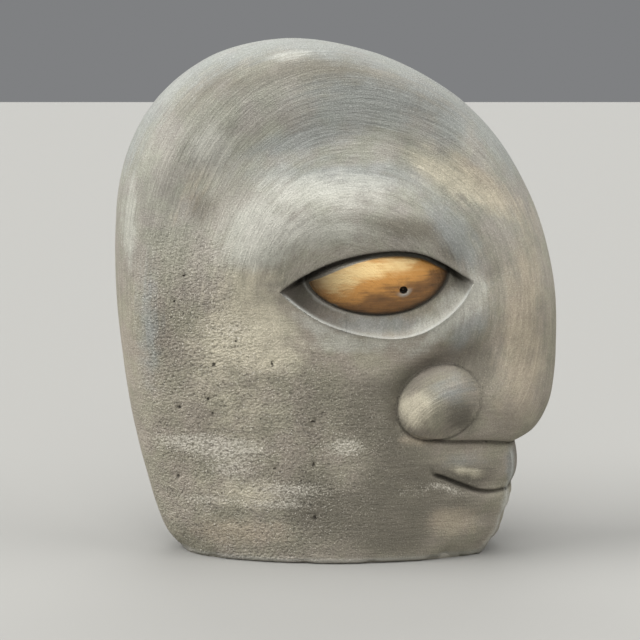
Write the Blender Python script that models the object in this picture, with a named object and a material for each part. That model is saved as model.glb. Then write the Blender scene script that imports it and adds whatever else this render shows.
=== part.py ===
"""Concrete garden head, cast in one piece, standing on its flat foot.

The head is a thick slab seen from the side, with its edges rounded over and a face carved into both sides.
Its half thickness is one function of the place on the side view, and a grid of rings around the pupil
carries it into a mesh. The face looks along -Y, up is +Z, and the plane X = 0 mirrors one side to the other.
"""

import bmesh
import bpy
import numpy as np

# Driving sizes, in metres
HEIGHT = 0.300
CHEEK_WIDTH = 0.090
FOOT_WIDTH = 0.076

# How far in from the silhouette the edge rounds over, in metres, and how it changes with the bearing from
# the middle of the side view, in degrees up from straight ahead
BACK_ROUND = 0.030
CROWN_ROUND = 0.016
BRIDGE_ROUND = 0.026
TIP_ROUND = 0.023
LIP_ROUND = 0.008
EDGE_ROUNDS = (
    (-180, BACK_ROUND), (-120, TIP_ROUND), (-60, LIP_ROUND), (-38, LIP_ROUND), (-28, TIP_ROUND),
    (0, BRIDGE_ROUND), (35, BRIDGE_ROUND), (70, CROWN_ROUND), (130, BACK_ROUND), (180, BACK_ROUND),
)
FOOT_ROUND = 0.003

# A second, wide rounding makes the slab a lens in plan: its share of the edge at the crown and at the foot
LENS_ROUND = 0.084
LENS_AT_CROWN, LENS_AT_FOOT = 0.42, 0.87
TAPER_LEVEL = 0.45

# Heights and depths of the carving, measured out from the side, in metres
FOREHEAD_SCOOP = 0.0040
BROW_RISE = 0.0120
BROW_FALL = 0.0035
GROOVE_DEPTH = 0.0022
BRIDGE_RISE = 0.0028
HOLLOW_DEPTH = 0.0052
LID_RISE = 0.0018
POUCH_RISE = 0.0018
SHELF_DROP = 0.0075
LID_GAP = 0.0035
EYE_SEAT = 0.0080
EYE_RISE = 0.0150
PUPIL_RADIUS = 0.0022
PUPIL_DEPTH = 0.0050
NOSE_STEP = 0.0055
NOSE_CREASE = 0.0018
WING_SEAT = 0.0020
WING_RISE = 0.0165
WING_CREASE = 0.0022
WING_FILLET = 0.0022
MOUTH_DEPTH = 0.0034
LIP_RISE = 0.0030
UNDER_LIP_RISE = 0.0015
DIP_DEPTH = 0.0012
CHIN_RISE = 0.0015

# Places on the side view, as shares of the height: forward of the middle of the foot, and up
SKULL = (
    (-0.303, 0.000), (-0.338, 0.046), (-0.378, 0.177), (-0.410, 0.345), (-0.426, 0.550), (-0.411, 0.750),
    (-0.350, 0.877), (-0.240, 0.965), (-0.089, 1.000), (0.090, 0.967), (0.254, 0.872), (0.365, 0.724),
    (0.419, 0.563), (0.430, 0.430), (0.416, 0.305), (0.388, 0.252), (0.352, 0.226),
)
UPPER_LIP = ((0.352, 0.226), (0.358, 0.190), (0.356, 0.160), (0.347, 0.138))
CHIN = ((0.347, 0.138), (0.349, 0.115), (0.335, 0.072), (0.328, 0.045), (0.298, 0.000))
UPPER_LID = (
    (-0.105, 0.535), (-0.058, 0.562), (0.000, 0.587), (0.055, 0.602), (0.113, 0.611), (0.165, 0.609),
    (0.205, 0.596), (0.232, 0.575), (0.256, 0.552),
)
LOWER_LID = (
    (-0.105, 0.535), (-0.073, 0.508), (-0.036, 0.484), (0.005, 0.466), (0.050, 0.454), (0.100, 0.448),
    (0.135, 0.451), (0.175, 0.466), (0.213, 0.493), (0.238, 0.521), (0.256, 0.552),
)
BROW_GROOVE = ((0.060, 0.800), (0.140, 0.765), (0.200, 0.710), (0.250, 0.640), (0.285, 0.570))
BRIDGE = ((0.080, 0.825), (0.190, 0.795), (0.290, 0.735), (0.340, 0.630), (0.360, 0.500), (0.355, 0.360))
NOSE_HOLLOW = (
    (0.095, 0.290), (0.126, 0.352), (0.185, 0.392), (0.250, 0.415), (0.310, 0.440), (0.350, 0.470),
)
NOSE_UNDERSIDE = (
    (0.118, 0.285), (0.135, 0.268), (0.165, 0.253), (0.210, 0.245), (0.260, 0.242), (0.310, 0.236),
    (0.352, 0.226), (0.400, 0.216),
)
MOUTH = ((0.180, 0.180), (0.205, 0.172), (0.240, 0.158), (0.275, 0.146), (0.305, 0.140), (0.347, 0.138))
BROW_CENTRE, BROW_LENGTH, BROW_HEIGHT = (0.003, 0.520), 0.2925, 0.265
EYE_CENTRE, EYE_LENGTH, EYE_HEIGHT, EYE_TURN = (0.071, 0.572), 0.144, 0.092, 2.0
WING_CENTRE, WING_LONG, WING_SHORT, WING_TURN = (0.195, 0.314), 0.084, 0.070, 35.0
PUPIL = (0.124, 0.536)
POUCH_CENTRE, POUCH_LENGTH, POUCH_WIDTH, POUCH_TURN = (0.250, 0.485), 0.080, 0.040, 42.0
LIP_CENTRE, LIP_LENGTH, LIP_HEIGHT, LIP_TURN = (0.270, 0.188), 0.080, 0.026, -10.0
UNDER_LIP_CENTRE, UNDER_LIP_LENGTH, UNDER_LIP_HEIGHT = (0.290, 0.116), 0.060, 0.022
DIP_CENTRE, DIP_LENGTH, DIP_HEIGHT = (0.280, 0.085), 0.070, 0.016
CHIN_CENTRE, CHIN_LENGTH, CHIN_HEIGHT = (0.250, 0.045), 0.090, 0.030

# Mesh
COLUMNS = 400
LID_RINGS = 30
CHEEK_RINGS = 84
TRIALS = 400
CROWDING = 4.0
SOFTENING = 12
TRIANGLES = 9800
TRIM_DEPTH = 0.004


def step(t):
    """Nought below 0, one above 1, and an S-shaped rise between."""
    t = np.clip(t, 0.0, 1.0)
    return t * t * (3.0 - 2.0 * t)


def hump(t):
    """A bell of height one at t = 0 that has fallen to about a third at t = 1."""
    return np.exp(-t * t)


def path_through(points, pieces=10):
    """A smooth path through the points: centripetal Catmull-Rom, in so many pieces between two points."""
    inner = np.asarray(points, float)
    knots = np.vstack([2 * inner[0] - inner[1], inner, 2 * inner[-1] - inner[-2]])
    gaps = np.sqrt(np.linalg.norm(np.diff(knots, axis=0), axis=1))
    times = np.concatenate([[0.0], np.cumsum(gaps)])
    path = []
    for i in range(1, len(inner)):
        (p0, p1, p2, p3), (t0, t1, t2, t3) = knots[i - 1:i + 3], times[i - 1:i + 3]
        t = np.linspace(t1, t2, pieces, endpoint=False)[:, None]
        a1 = ((t1 - t) * p0 + (t - t0) * p1) / (t1 - t0)
        a2 = ((t2 - t) * p1 + (t - t1) * p2) / (t2 - t1)
        a3 = ((t3 - t) * p2 + (t - t2) * p3) / (t3 - t2)
        b1 = ((t2 - t) * a1 + (t - t0) * a2) / (t2 - t0)
        b2 = ((t3 - t) * a2 + (t - t1) * a3) / (t3 - t1)
        path.append(((t2 - t) * b1 + (t - t1) * b2) / (t2 - t1))
    return np.vstack(path + [inner[-1:]])


def nearest(place, path):
    """How far each place is from the path, and how far along the path its nearest point is, from 0 to 1."""
    starts, runs = path[:-1], np.diff(path, axis=0)
    lengths = np.linalg.norm(runs, axis=1)
    before = np.concatenate([[0.0], np.cumsum(lengths)])
    least = np.full(len(place), np.inf)
    along = np.zeros(len(place))
    for start, run, length, run_in in zip(starts, runs, lengths, before):
        share = np.clip((place - start) @ run / length ** 2, 0.0, 1.0)
        gap = np.linalg.norm(place - start - share[:, None] * run, axis=1)
        closer = gap < least
        least = np.where(closer, gap, least)
        along = np.where(closer, run_in + share * length, along)
    return least, along / before[-1]


def level_of(path, forward):
    """How high the path runs at each forward place."""
    return np.interp(forward, path[:, 0], path[:, 1])


def oval(place, centre, long, tall, turn=0.0):
    """How far each place is from an oval's centre, as a share of the way to its rim."""
    angle = np.radians(turn)
    x, y = (place - centre).T
    along = x * np.cos(angle) + y * np.sin(angle)
    across = y * np.cos(angle) - x * np.sin(angle)
    return np.hypot(along / long, across / tall)


def cap(out, radius, rise):
    """The height of a ball's cap that stands so high over its rim, out from its centre as a share of the rim."""
    ball = (radius ** 2 + rise ** 2) / (2.0 * rise)
    return np.sqrt(np.maximum(ball ** 2 - (out * radius) ** 2, 0.0)) - (ball - rise)


def blend_up(low, high, radius):
    """The greater of two surfaces, with a fillet where they meet."""
    share = np.clip(0.5 + 0.5 * (high - low) / radius, 0.0, 1.0)
    return low + (high - low) * share + radius * share * (1.0 - share)


def silhouette():
    """The outline from the foot's back corner over the crown to the foot's front corner, in three runs."""
    return [path_through(run) for run in (SKULL, UPPER_LIP, CHIN)]


def lengthened(outline, drop):
    """The outline with both ends carried on, straight, to a level this far below the ground."""
    ends = []
    for last, before in ((outline[0], outline[1]), (outline[-1], outline[-2])):
        ends.append(last + (last - before) * drop / (before - last)[1])
    return np.vstack([ends[:1], outline, ends[1:]])


def edge_depth(place):
    """How far in the edge rounds over here, by the bearing from the middle of the side view."""
    forward, up = place.T
    bearings, depths = zip(*EDGE_ROUNDS)
    return np.interp(np.degrees(np.arctan2(up - 0.5, forward)), bearings, depths)


def rounding(inward, depth):
    """A quarter ellipse: nought at the silhouette and one from the given depth on."""
    return np.sqrt(1.0 - (1.0 - np.clip(inward / depth, 0.0, 1.0)) ** 2)


def slab(place):
    """The plain slab: its half thickness, and the share of it that the rounded edge leaves."""
    outline = np.vstack([run[:-1] for run in silhouette()] + [silhouette()[-1][-1:]])
    inward = nearest(place, lengthened(outline, 0.1))[0] * HEIGHT
    low = 1.0 - step(place[:, 1] / TAPER_LEVEL)
    lens = LENS_AT_CROWN + (LENS_AT_FOOT - LENS_AT_CROWN) * low
    edge = (1.0 - lens) * rounding(inward, edge_depth(place)) + lens * rounding(inward, LENS_ROUND)
    half = 0.5 * (CHEEK_WIDTH + (FOOT_WIDTH - CHEEK_WIDTH) * low)
    foot = np.clip(1.0 - place[:, 1] * HEIGHT / FOOT_ROUND, 0.0, 1.0)
    return (half - FOOT_ROUND * (1.0 - np.sqrt(1.0 - foot ** 2))) * edge, edge


def brow(place):
    """The arched brow over the eye, the scoop of the forehead above it and the groove beside the bridge."""
    forward, up = place.T
    out = oval(place, BROW_CENTRE, BROW_LENGTH, BROW_HEIGHT)
    above = step((up - 0.51 + 0.05 * step(-forward / 0.2)) / 0.15)
    arch = BROW_RISE * step((1.0 - out) / 0.40) - BROW_FALL * step((0.55 - out) / 0.35)
    arch = arch * (0.55 + 0.45 * step((forward + 0.22) / 0.22))
    scoop = FOREHEAD_SCOOP * hump((out - 1.14) / 0.18) * step((up - 0.60) / 0.15)
    gap, along = nearest(place, path_through(BROW_GROOVE))
    groove = GROOVE_DEPTH * hump(gap / 0.022) * step(along / 0.35) * step((1.2 - along) / 0.4)
    gap, along = nearest(place, path_through(BRIDGE))
    bridge = BRIDGE_RISE * hump(gap / 0.035) * step(along / 0.5) * step((1.1 - along) / 0.4)
    return arch * above - scoop - groove + bridge


def cheek(place):
    """The rim of the lower lid, the pouch of skin under it and the hollow between the eye and the nose."""
    forward, up = place.T
    gap, along = nearest(place, path_through(NOSE_HOLLOW))
    hollow = HOLLOW_DEPTH * hump(gap / 0.028) * step(along / 0.35) * step((1.0 - along) / 0.5)
    gap = nearest(place, path_through(LOWER_LID))[0]
    over = up - level_of(path_through(LOWER_LID), forward)
    rim = LID_RISE * hump(gap / 0.024) * step((forward + 0.14) / 0.10) * step(1.0 - over / 0.012)
    pouch = POUCH_RISE * hump(oval(place, POUCH_CENTRE, POUCH_LENGTH, POUCH_WIDTH, POUCH_TURN))
    return rim + pouch - hollow


def eye(place, side, plain):
    """The eye: behind the lids a shelf drops from the lower rim, and the ball swells in front of it."""
    forward, up = place.T
    upper, lower = (level_of(path_through(lid), forward) for lid in (UPPER_LID, LOWER_LID))
    first, last = UPPER_LID[0][0], UPPER_LID[-1][0]
    taper = step((forward - first) / 0.05) * step((last - forward) / 0.04)
    rise = (up - lower) / 0.045
    shelf = plain + LID_RISE - SHELF_DROP * taper * (0.45 * step(rise / 0.3) + 0.55 * np.clip(rise, 0, 1))
    out = oval(place, EYE_CENTRE, EYE_LENGTH, EYE_HEIGHT, EYE_TURN)
    ball = plain - EYE_SEAT + cap(out, EYE_HEIGHT * HEIGHT, EYE_RISE)
    inside = np.maximum(shelf, ball)
    inside = inside - LID_GAP * taper * (1.0 - step((upper - up - 0.004) / 0.012))
    wall = np.clip((upper - up) / 0.004, 0.0, 1.0)
    carved = side + (inside - side) * wall
    opening = (up > lower) & (up < upper) & (forward > first) & (forward < last)
    return np.where(opening, carved, side)


def nose(place, side, plain):
    """The nose's side, raised over its underside line, with the round wing set on it in a crease."""
    forward, up = place.T
    above = up - level_of(path_through(NOSE_UNDERSIDE), forward)
    lift = np.clip(above / 0.022, 0.0, 1.0)
    reach = step((forward - 0.11) / 0.05) * (1.0 - step((up - 0.30) / 0.12))
    side = side + NOSE_STEP * np.sqrt(1.0 - (1.0 - lift) ** 2) * reach
    side = side - NOSE_CREASE * hump(above / 0.005) * step((forward - 0.11) / 0.03)
    out = oval(place, WING_CENTRE, WING_LONG, WING_SHORT, WING_TURN)
    behind = (up - WING_CENTRE[1]) - 0.9 * (forward - WING_CENTRE[0])
    side = side - WING_CREASE * hump((out - 1.05) / 0.16) * step((behind + 0.02) / 0.08)
    wing = plain - WING_SEAT + cap(out, WING_SHORT * HEIGHT, WING_RISE)
    return blend_up(side, wing, WING_FILLET)


def mouth(place):
    """The slit of the mouth and the swell of the lips and the chin around it."""
    gap, along = nearest(place, path_through(MOUTH))
    slit = MOUTH_DEPTH * hump(gap / 0.0045) * step(along / 0.12)
    lip = LIP_RISE * hump(oval(place, LIP_CENTRE, LIP_LENGTH, LIP_HEIGHT, LIP_TURN))
    under = UNDER_LIP_RISE * hump(oval(place, UNDER_LIP_CENTRE, UNDER_LIP_LENGTH, UNDER_LIP_HEIGHT))
    dip = DIP_DEPTH * hump(oval(place, DIP_CENTRE, DIP_LENGTH, DIP_HEIGHT))
    chin = CHIN_RISE * hump(oval(place, CHIN_CENTRE, CHIN_LENGTH, CHIN_HEIGHT))
    return lip + under - dip + chin - slit


def half_thickness(place):
    """How far the side stands out from the middle plane at each place of the side view, in metres."""
    plain, edge = slab(place)
    side = plain + (brow(place) + cheek(place) + mouth(place)) * edge
    side = nose(place, side, plain)
    side = eye(place, side, plain)
    out = np.linalg.norm((place - PUPIL) * HEIGHT, axis=1)
    side = side - PUPIL_DEPTH * (out < PUPIL_RADIUS)
    return np.where(edge > 0.0, np.maximum(side, 0.0), 0.0)


def evenly(path, spacing):
    """The path again, with evenly spaced points and the same two ends."""
    lengths = np.concatenate([[0.0], np.cumsum(np.linalg.norm(np.diff(path, axis=0), axis=1))])
    count = max(2, int(round(lengths[-1] / spacing)))
    marks = np.linspace(0.0, lengths[-1], count + 1)
    return np.column_stack([np.interp(marks, lengths, path[:, i]) for i in range(2)])


def boundary():
    """The closed edge of the side view and how many of its points are on the silhouette."""
    runs = silhouette()
    total = sum(np.linalg.norm(np.diff(run, axis=0), axis=1).sum() for run in runs) + 0.6
    spacing = total / COLUMNS
    outline = np.vstack([evenly(run, spacing)[:-1] for run in runs] + [runs[-1][-1:]])
    outline = lengthened(outline, TRIM_DEPTH / HEIGHT)
    foot = evenly(np.vstack([outline[-1], outline[0]]), spacing)[1:-1]
    return np.vstack([outline, foot]), len(outline)


def lid_share(edge_points):
    """Where the ray from the pupil to each boundary point leaves the eye, as a share of that ray."""
    steps = np.linspace(0.02, 0.98, 481)
    rays = np.array(PUPIL) + steps[:, None, None] * (edge_points - PUPIL)
    forward, up = rays[..., 0], rays[..., 1]
    lids = [level_of(path_through(lid), forward) for lid in (UPPER_LID, LOWER_LID)]
    within = (up < lids[0]) & (up > lids[1]) & (forward > UPPER_LID[0][0]) & (forward < UPPER_LID[-1][0])
    return steps[np.maximum(within.sum(axis=0) - 1, 0)]


def softened(values, times):
    """A grid's values, each averaged with its neighbours so many times, along the rays and around."""
    for _ in range(times):
        along = np.pad(values, ((1, 1), (0, 0)), mode="edge")
        values = 0.5 * values + 0.25 * (along[:-2] + along[2:])
        values = 0.5 * values + 0.25 * (np.roll(values, 1, axis=1) + np.roll(values, -1, axis=1))
    return values


def gathered(rays, first, last, rings):
    """Shares of each ray from the first to the last, closer together where the form turns along the ray."""
    trial = first + (last - first) * np.linspace(0.0, 1.0, TRIALS)[:, None]
    out = half_thickness((PUPIL + trial[..., None] * rays).reshape(-1, 2)).reshape(trial.shape)
    along = trial * np.linalg.norm(rays, axis=1) * HEIGHT
    turning = np.abs(np.gradient(np.arctan(np.gradient(out, axis=0) / np.gradient(along, axis=0)), axis=0))
    crowd = softened(turning, SOFTENING)
    crowd = 1.0 + CROWDING * crowd / crowd.mean()
    passed = np.cumsum(crowd, axis=0) - crowd[0]
    marks = np.linspace(0.0, 1.0, rings + 1)[1:]
    return np.column_stack([np.interp(marks, p / p[-1], t) for p, t in zip(passed.T, trial.T)])


def side_view_grid():
    """Rings of places around the pupil: round the hole, out to the lids, and out to the boundary."""
    rim, on_silhouette = boundary()
    rays = rim - PUPIL
    lids = lid_share(rim)
    hole = PUPIL_RADIUS / HEIGHT / np.linalg.norm(rays, axis=1)
    lid_rings = gathered(rays, 1.02 * hole, lids, LID_RINGS)
    cheek_rings = gathered(rays, lids, np.ones_like(lids), CHEEK_RINGS)
    shares = np.vstack([0.5 * hole, 0.98 * hole, 1.02 * hole, lid_rings, cheek_rings])
    return PUPIL + shares[..., None] * rays, on_silhouette


def half_head():
    """Vertices and faces of the +X half, open along the middle plane."""
    places, on_silhouette = side_view_grid()
    rings, columns, _ = places.shape
    out = half_thickness(places.reshape(-1, 2)).reshape(rings, columns)
    out[-1, :on_silhouette] = 0.0
    middle = 0.5 * (places[..., 0].min() + places[..., 0].max())
    sheet = np.stack([out, (middle - places[..., 0]) * HEIGHT, places[..., 1] * HEIGHT], axis=-1)
    bottom_of_hole = sheet[0].mean(axis=0, keepdims=True)
    foot = sheet[-1, on_silhouette:] * (0.0, 1.0, 1.0)
    vertices = np.vstack([sheet.reshape(-1, 3), bottom_of_hole, foot])
    index = np.arange(rings * columns).reshape(rings, columns)
    onward = np.roll(index, -1, axis=1)
    quads = np.stack([index[:-1], index[1:], onward[1:], onward[:-1]], axis=-1).reshape(-1, 4)
    centre = rings * columns
    fan = [(centre, a, b) for a, b in zip(index[0], onward[0])]
    outer = np.concatenate([index[-1, on_silhouette - 1:], index[-1, :1]])
    inner = np.concatenate([outer[:1], centre + 1 + np.arange(len(foot)), outer[-1:]])
    under = [(a, b, c, d) for a, b, c, d in zip(inner[:-1], inner[1:], outer[1:], outer[:-1])]
    under = [tuple(dict.fromkeys(face)) for face in under]
    return vertices, quads.tolist() + fan + under


def concrete():
    """Plain warm grey trowelled concrete."""
    material = bpy.data.materials.new("trowelled_concrete")
    material.use_nodes = True
    shader = material.node_tree.nodes["Principled BSDF"]
    shader.inputs["Base Color"].default_value = (0.305, 0.285, 0.250, 1.0)
    shader.inputs["Roughness"].default_value = 0.85
    shader.inputs["Metallic"].default_value = 0.0
    return material


def foot_trim():
    """A block below the ground plane, which cuts the foot flat."""
    mesh = bpy.data.meshes.new("foot_trim")
    form = bmesh.new()
    bmesh.ops.create_cube(form, size=2.0 * HEIGHT)
    bmesh.ops.translate(form, verts=form.verts, vec=(0.0, 0.0, -HEIGHT))
    form.to_mesh(mesh)
    form.free()
    block = bpy.data.objects.new("foot_trim", mesh)
    bpy.context.collection.objects.link(block)
    block.hide_render = True
    block.display_type = "WIRE"
    return block


def concrete_head():
    """The whole head: the carved half, its mirror image, fewer triangles where it is plain, and a flat foot."""
    vertices, faces = half_head()
    mesh = bpy.data.meshes.new("concrete_head")
    mesh.from_pydata(vertices.tolist(), [], faces)
    mesh.materials.append(concrete())
    mesh.shade_smooth()
    head = bpy.data.objects.new("concrete_head", mesh)
    bpy.context.collection.objects.link(head)
    mirror = head.modifiers.new("other_side", "MIRROR")
    mirror.merge_threshold = 0.00001
    triangles = 2 * sum(len(face) - 2 for face in faces)
    thin = head.modifiers.new("thin_out", "DECIMATE")
    thin.ratio = TRIANGLES / triangles
    trim = head.modifiers.new("flat_foot", "BOOLEAN")
    trim.operation = "DIFFERENCE"
    trim.solver = "EXACT"
    trim.object = foot_trim()
    return head


for leftover in list(bpy.data.objects):
    bpy.data.objects.remove(leftover)
concrete_head()
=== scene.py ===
"""Concrete garden head: the finished look of the one-piece casting, and the studio that it stands in.

The head is a thick slab seen from the side, with its edges rounded over and a face carved into both sides.
Its half thickness is one function of the place on the side view, given as shares of the height: forward of
the middle of the foot, and up. A grid of rings around the pupil carries that function into a mesh, on which
the hand of the maker is added: uneven trowelling, drag marks, sand, air holes and chips.
"""

from __future__ import annotations

import itertools
import logging
import math
from dataclasses import dataclass
from enum import Enum
from typing import Any

import bpy
import numpy as np
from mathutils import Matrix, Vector


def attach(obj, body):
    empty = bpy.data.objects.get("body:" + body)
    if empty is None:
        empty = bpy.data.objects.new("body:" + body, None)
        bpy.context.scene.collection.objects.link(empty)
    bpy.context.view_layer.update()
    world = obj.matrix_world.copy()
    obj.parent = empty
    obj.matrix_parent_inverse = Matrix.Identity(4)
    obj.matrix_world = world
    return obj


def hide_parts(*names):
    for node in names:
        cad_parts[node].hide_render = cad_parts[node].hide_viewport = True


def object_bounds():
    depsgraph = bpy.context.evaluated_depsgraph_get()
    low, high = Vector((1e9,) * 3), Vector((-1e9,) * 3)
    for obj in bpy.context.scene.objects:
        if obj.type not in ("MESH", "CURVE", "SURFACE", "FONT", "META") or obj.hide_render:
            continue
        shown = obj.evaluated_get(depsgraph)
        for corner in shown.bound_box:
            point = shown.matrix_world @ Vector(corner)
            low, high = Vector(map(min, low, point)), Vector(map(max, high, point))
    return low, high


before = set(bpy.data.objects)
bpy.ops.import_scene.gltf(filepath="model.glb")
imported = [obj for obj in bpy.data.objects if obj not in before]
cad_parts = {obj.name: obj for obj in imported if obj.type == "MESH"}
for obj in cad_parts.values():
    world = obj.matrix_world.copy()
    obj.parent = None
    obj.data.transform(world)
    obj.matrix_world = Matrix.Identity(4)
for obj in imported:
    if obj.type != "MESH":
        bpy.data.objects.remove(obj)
CAD_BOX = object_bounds()

log = logging.getLogger("concrete_head")

Place = tuple[float, float]
Span = tuple[float, float]
Pair = tuple[float, float]
Triple = tuple[float, float, float]
Array = np.ndarray

# A millimetre in metres, a length near nought, and a share beyond any that is met
MM = 0.001
TINY = 1e-12
ENDLESS = 9.0
# What the strokes' third value, which keeps the two sides apart, is divided by in each grain
SIDES_SIZE = 10.0
# The numbers of the lattice noise, large and uneven
LATTICE_TURN = np.array([127.1, 311.7, 74.7])
LATTICE_SEED = 7.3
LATTICE_SCALE = 43758.5453
# How strong each finer layer of a grain is, and where a broken mask starts and is full
GRAIN_ROUGHNESS = 0.55
BROKEN_EDGE = (0.20, 0.95)


class Side(Enum):
    """The two carved sides of the head, by the sign of their X."""

    SHOWN = -1.0
    FAR = 1.0


# Small mathematics


def step(t: Array) -> Array:
    """Nought below 0, one above 1, and the cubic S-shaped rise 3tt - 2ttt between."""
    t = np.clip(t, 0.0, 1.0)
    return t * t * (3.0 - 2.0 * t)


def between(value: Array, start: float, full: float) -> Array:
    """The S-shaped rise of a value from nought at the start to one at the full place, even downwards."""
    return step((value - start) / (full - start))


def hump(t: Array) -> Array:
    """A bell, e to the power of minus t squared: one at t = 0 and about a third at t = 1."""
    return np.exp(-t * t)


def blend_up(low: Array, high: Array, radius: float) -> Array:
    """The greater of two surfaces, with a fillet where they meet.

    Args:
        low: One surface's heights.
        high: The other surface's heights.
        radius: How far apart the two may be and still be filleted.

    Returns:
        A mix of the two that goes from one to the other, plus a parabola that fills the corner.
    """
    share = np.clip(0.5 + 0.5 * (high - low) / radius, 0.0, 1.0)
    return low + (high - low) * share + radius * share * (1.0 - share)


def lumps(points: Array, size: float, seed: float) -> Array:
    """Smooth noise whose lumps are about as wide as the size.

    Each corner of a cubic lattice gets a value from the fraction of a large sine of its place, and a point
    takes the eight values around it, blended along each axis by the S-shaped step.

    Args:
        points: Places, with the coordinates along the last axis.
        size: The lattice's spacing, in the unit of the places.
        seed: Any number; another one gives other lumps.

    Returns:
        One value from -1 to 1 for each point.
    """
    cell = np.floor(points / size)
    share = step(points / size - cell)
    total = np.zeros(points.shape[:-1])
    for corner in itertools.product((0.0, 1.0), repeat=3):
        value = np.sin((cell + corner) @ LATTICE_TURN + LATTICE_SEED * seed) * LATTICE_SCALE
        weight = np.prod(np.where(np.array(corner) > 0.5, share, 1.0 - share), axis=-1)
        total += weight * (2.0 * (value - np.floor(value)) - 1.0)
    return total


@dataclass(frozen=True)
class Line:
    """A smooth line on the side view through a few places."""

    places: tuple[Place, ...]
    pieces: int = 10

    def path(self) -> Array:
        """Centripetal Catmull-Rom: between two places, a cubic that also minds the places before and after.

        Returns:
            The line's points, so many to each stretch between two places.
        """
        inner = np.asarray(self.places, float)
        knots = np.vstack([2 * inner[0] - inner[1], inner, 2 * inner[-1] - inner[-2]])
        gaps = np.sqrt(np.linalg.norm(np.diff(knots, axis=0), axis=1))
        times = np.concatenate([[0.0], np.cumsum(gaps)])
        path = []
        for i in range(1, len(inner)):
            (p0, p1, p2, p3), (t0, t1, t2, t3) = knots[i - 1:i + 3], times[i - 1:i + 3]
            t = np.linspace(t1, t2, self.pieces, endpoint=False)[:, None]
            a1 = ((t1 - t) * p0 + (t - t0) * p1) / (t1 - t0)
            a2 = ((t2 - t) * p1 + (t - t1) * p2) / (t2 - t1)
            a3 = ((t3 - t) * p2 + (t - t2) * p3) / (t3 - t2)
            b1 = ((t2 - t) * a1 + (t - t0) * a2) / (t2 - t0)
            b2 = ((t3 - t) * a2 + (t - t1) * a3) / (t3 - t1)
            path.append(((t2 - t) * b1 + (t - t1) * b2) / (t2 - t1))
        return np.vstack(path + [inner[-1:]])

    def near(self, place: Array) -> tuple[Array, Array]:
        """How far each place is from the line, and where along it its nearest point is.

        Args:
            place: Places on the side view, one to a row.

        Returns:
            The distances, and the shares of the line's length from 0 to 1.
        """
        return nearest(place, self.path())

    def level(self, forward: Array) -> Array:
        """How high the line runs at each forward place, read between its points."""
        path = self.path()
        return np.interp(forward, path[:, 0], path[:, 1])


def nearest(place: Array, path: Array) -> tuple[Array, Array]:
    """Distance to a path of short straight runs, by dropping each place onto every run and keeping the least.

    Args:
        place: Places on the side view, one to a row.
        path: The path's points in order.

    Returns:
        The distances, and the shares of the path's length from 0 to 1.
    """
    starts, runs = path[:-1], np.diff(path, axis=0)
    lengths = np.linalg.norm(runs, axis=1)
    before = np.concatenate([[0.0], np.cumsum(lengths)])
    least = np.full(len(place), np.inf)
    along = np.zeros(len(place))
    for start, run, length, run_in in zip(starts, runs, lengths, before):
        share = np.clip((place - start) @ run / length ** 2, 0.0, 1.0)
        gap = np.linalg.norm(place - start - share[:, None] * run, axis=1)
        closer = gap < least
        least = np.where(closer, gap, least)
        along = np.where(closer, run_in + share * length, along)
    return least, along / before[-1]


@dataclass(frozen=True)
class Stripe:
    """A soft stripe along a line: it sets in over its first part, and may fade before or beyond its end."""

    line: Line
    width: float
    sets_in: float
    ends: float = ENDLESS
    fades: float = 1.0

    def on(self, place: Array) -> Array:
        """How strong the stripe is, from 0 to 1: a bell across it, times the two fades along it.

        Args:
            place: Places on the side view, one to a row.

        Returns:
            The shares.
        """
        gap, along = self.line.near(place)
        return hump(gap / self.width) * step(along / self.sets_in) * step((self.ends - along) / self.fades)


@dataclass(frozen=True)
class Trace:
    """Painted shade or light, grime or wear about an edge: how strong it is, and how far it reaches on either
    side.
    """

    strength: float
    reach: float
    other_reach: float | None = None

    def across(self, gap: Array) -> Array:
        """The trace at a signed distance from the edge: a bell, over the reach of the side that it is on."""
        other = self.reach if self.other_reach is None else self.other_reach
        return self.strength * hump(gap / np.where(gap > 0.0, self.reach, other))


@dataclass(frozen=True)
class Oval:
    """An oval on the side view: centre, half length and height, turn in degrees, strength as a patch."""

    centre: Place
    long: float
    tall: float
    turn: float = 0.0
    strength: float = 1.0

    def out(self, place: Array) -> Array:
        """How far each place is from the centre as a share of the way to the rim, in the oval's own axes.

        Args:
            place: Places on the side view, one to a row.

        Returns:
            The shares: nought at the centre and one on the rim.
        """
        angle = math.radians(self.turn)
        x, y = (place - self.centre).T
        along = x * math.cos(angle) + y * math.sin(angle)
        across = y * math.cos(angle) - x * math.sin(angle)
        return np.hypot(along / self.long, across / self.tall)

    def spot(self, place: Array) -> Array:
        """A soft-edged patch in the oval: the bell of the distance from its centre, times its strength."""
        return self.strength * hump(self.out(place))


def cap(out: Array, radius: float, rise: float) -> Array:
    """A ball's cap that stands so high over its rim.

    The ball's radius is (rr + hh) / 2h for rim radius r and rise h. The cap is the ball less its flat cut.

    Args:
        out: Distance from the cap's centre as a share of its rim.
        radius: The rim's radius.
        rise: The cap's height over its rim.

    Returns:
        The height over the rim; under the rim it goes on down the ball.
    """
    ball = (radius ** 2 + rise ** 2) / (2.0 * rise)
    return np.sqrt(np.maximum(ball ** 2 - (out * radius) ** 2, 0.0)) - (ball - rise)


# The form


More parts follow.
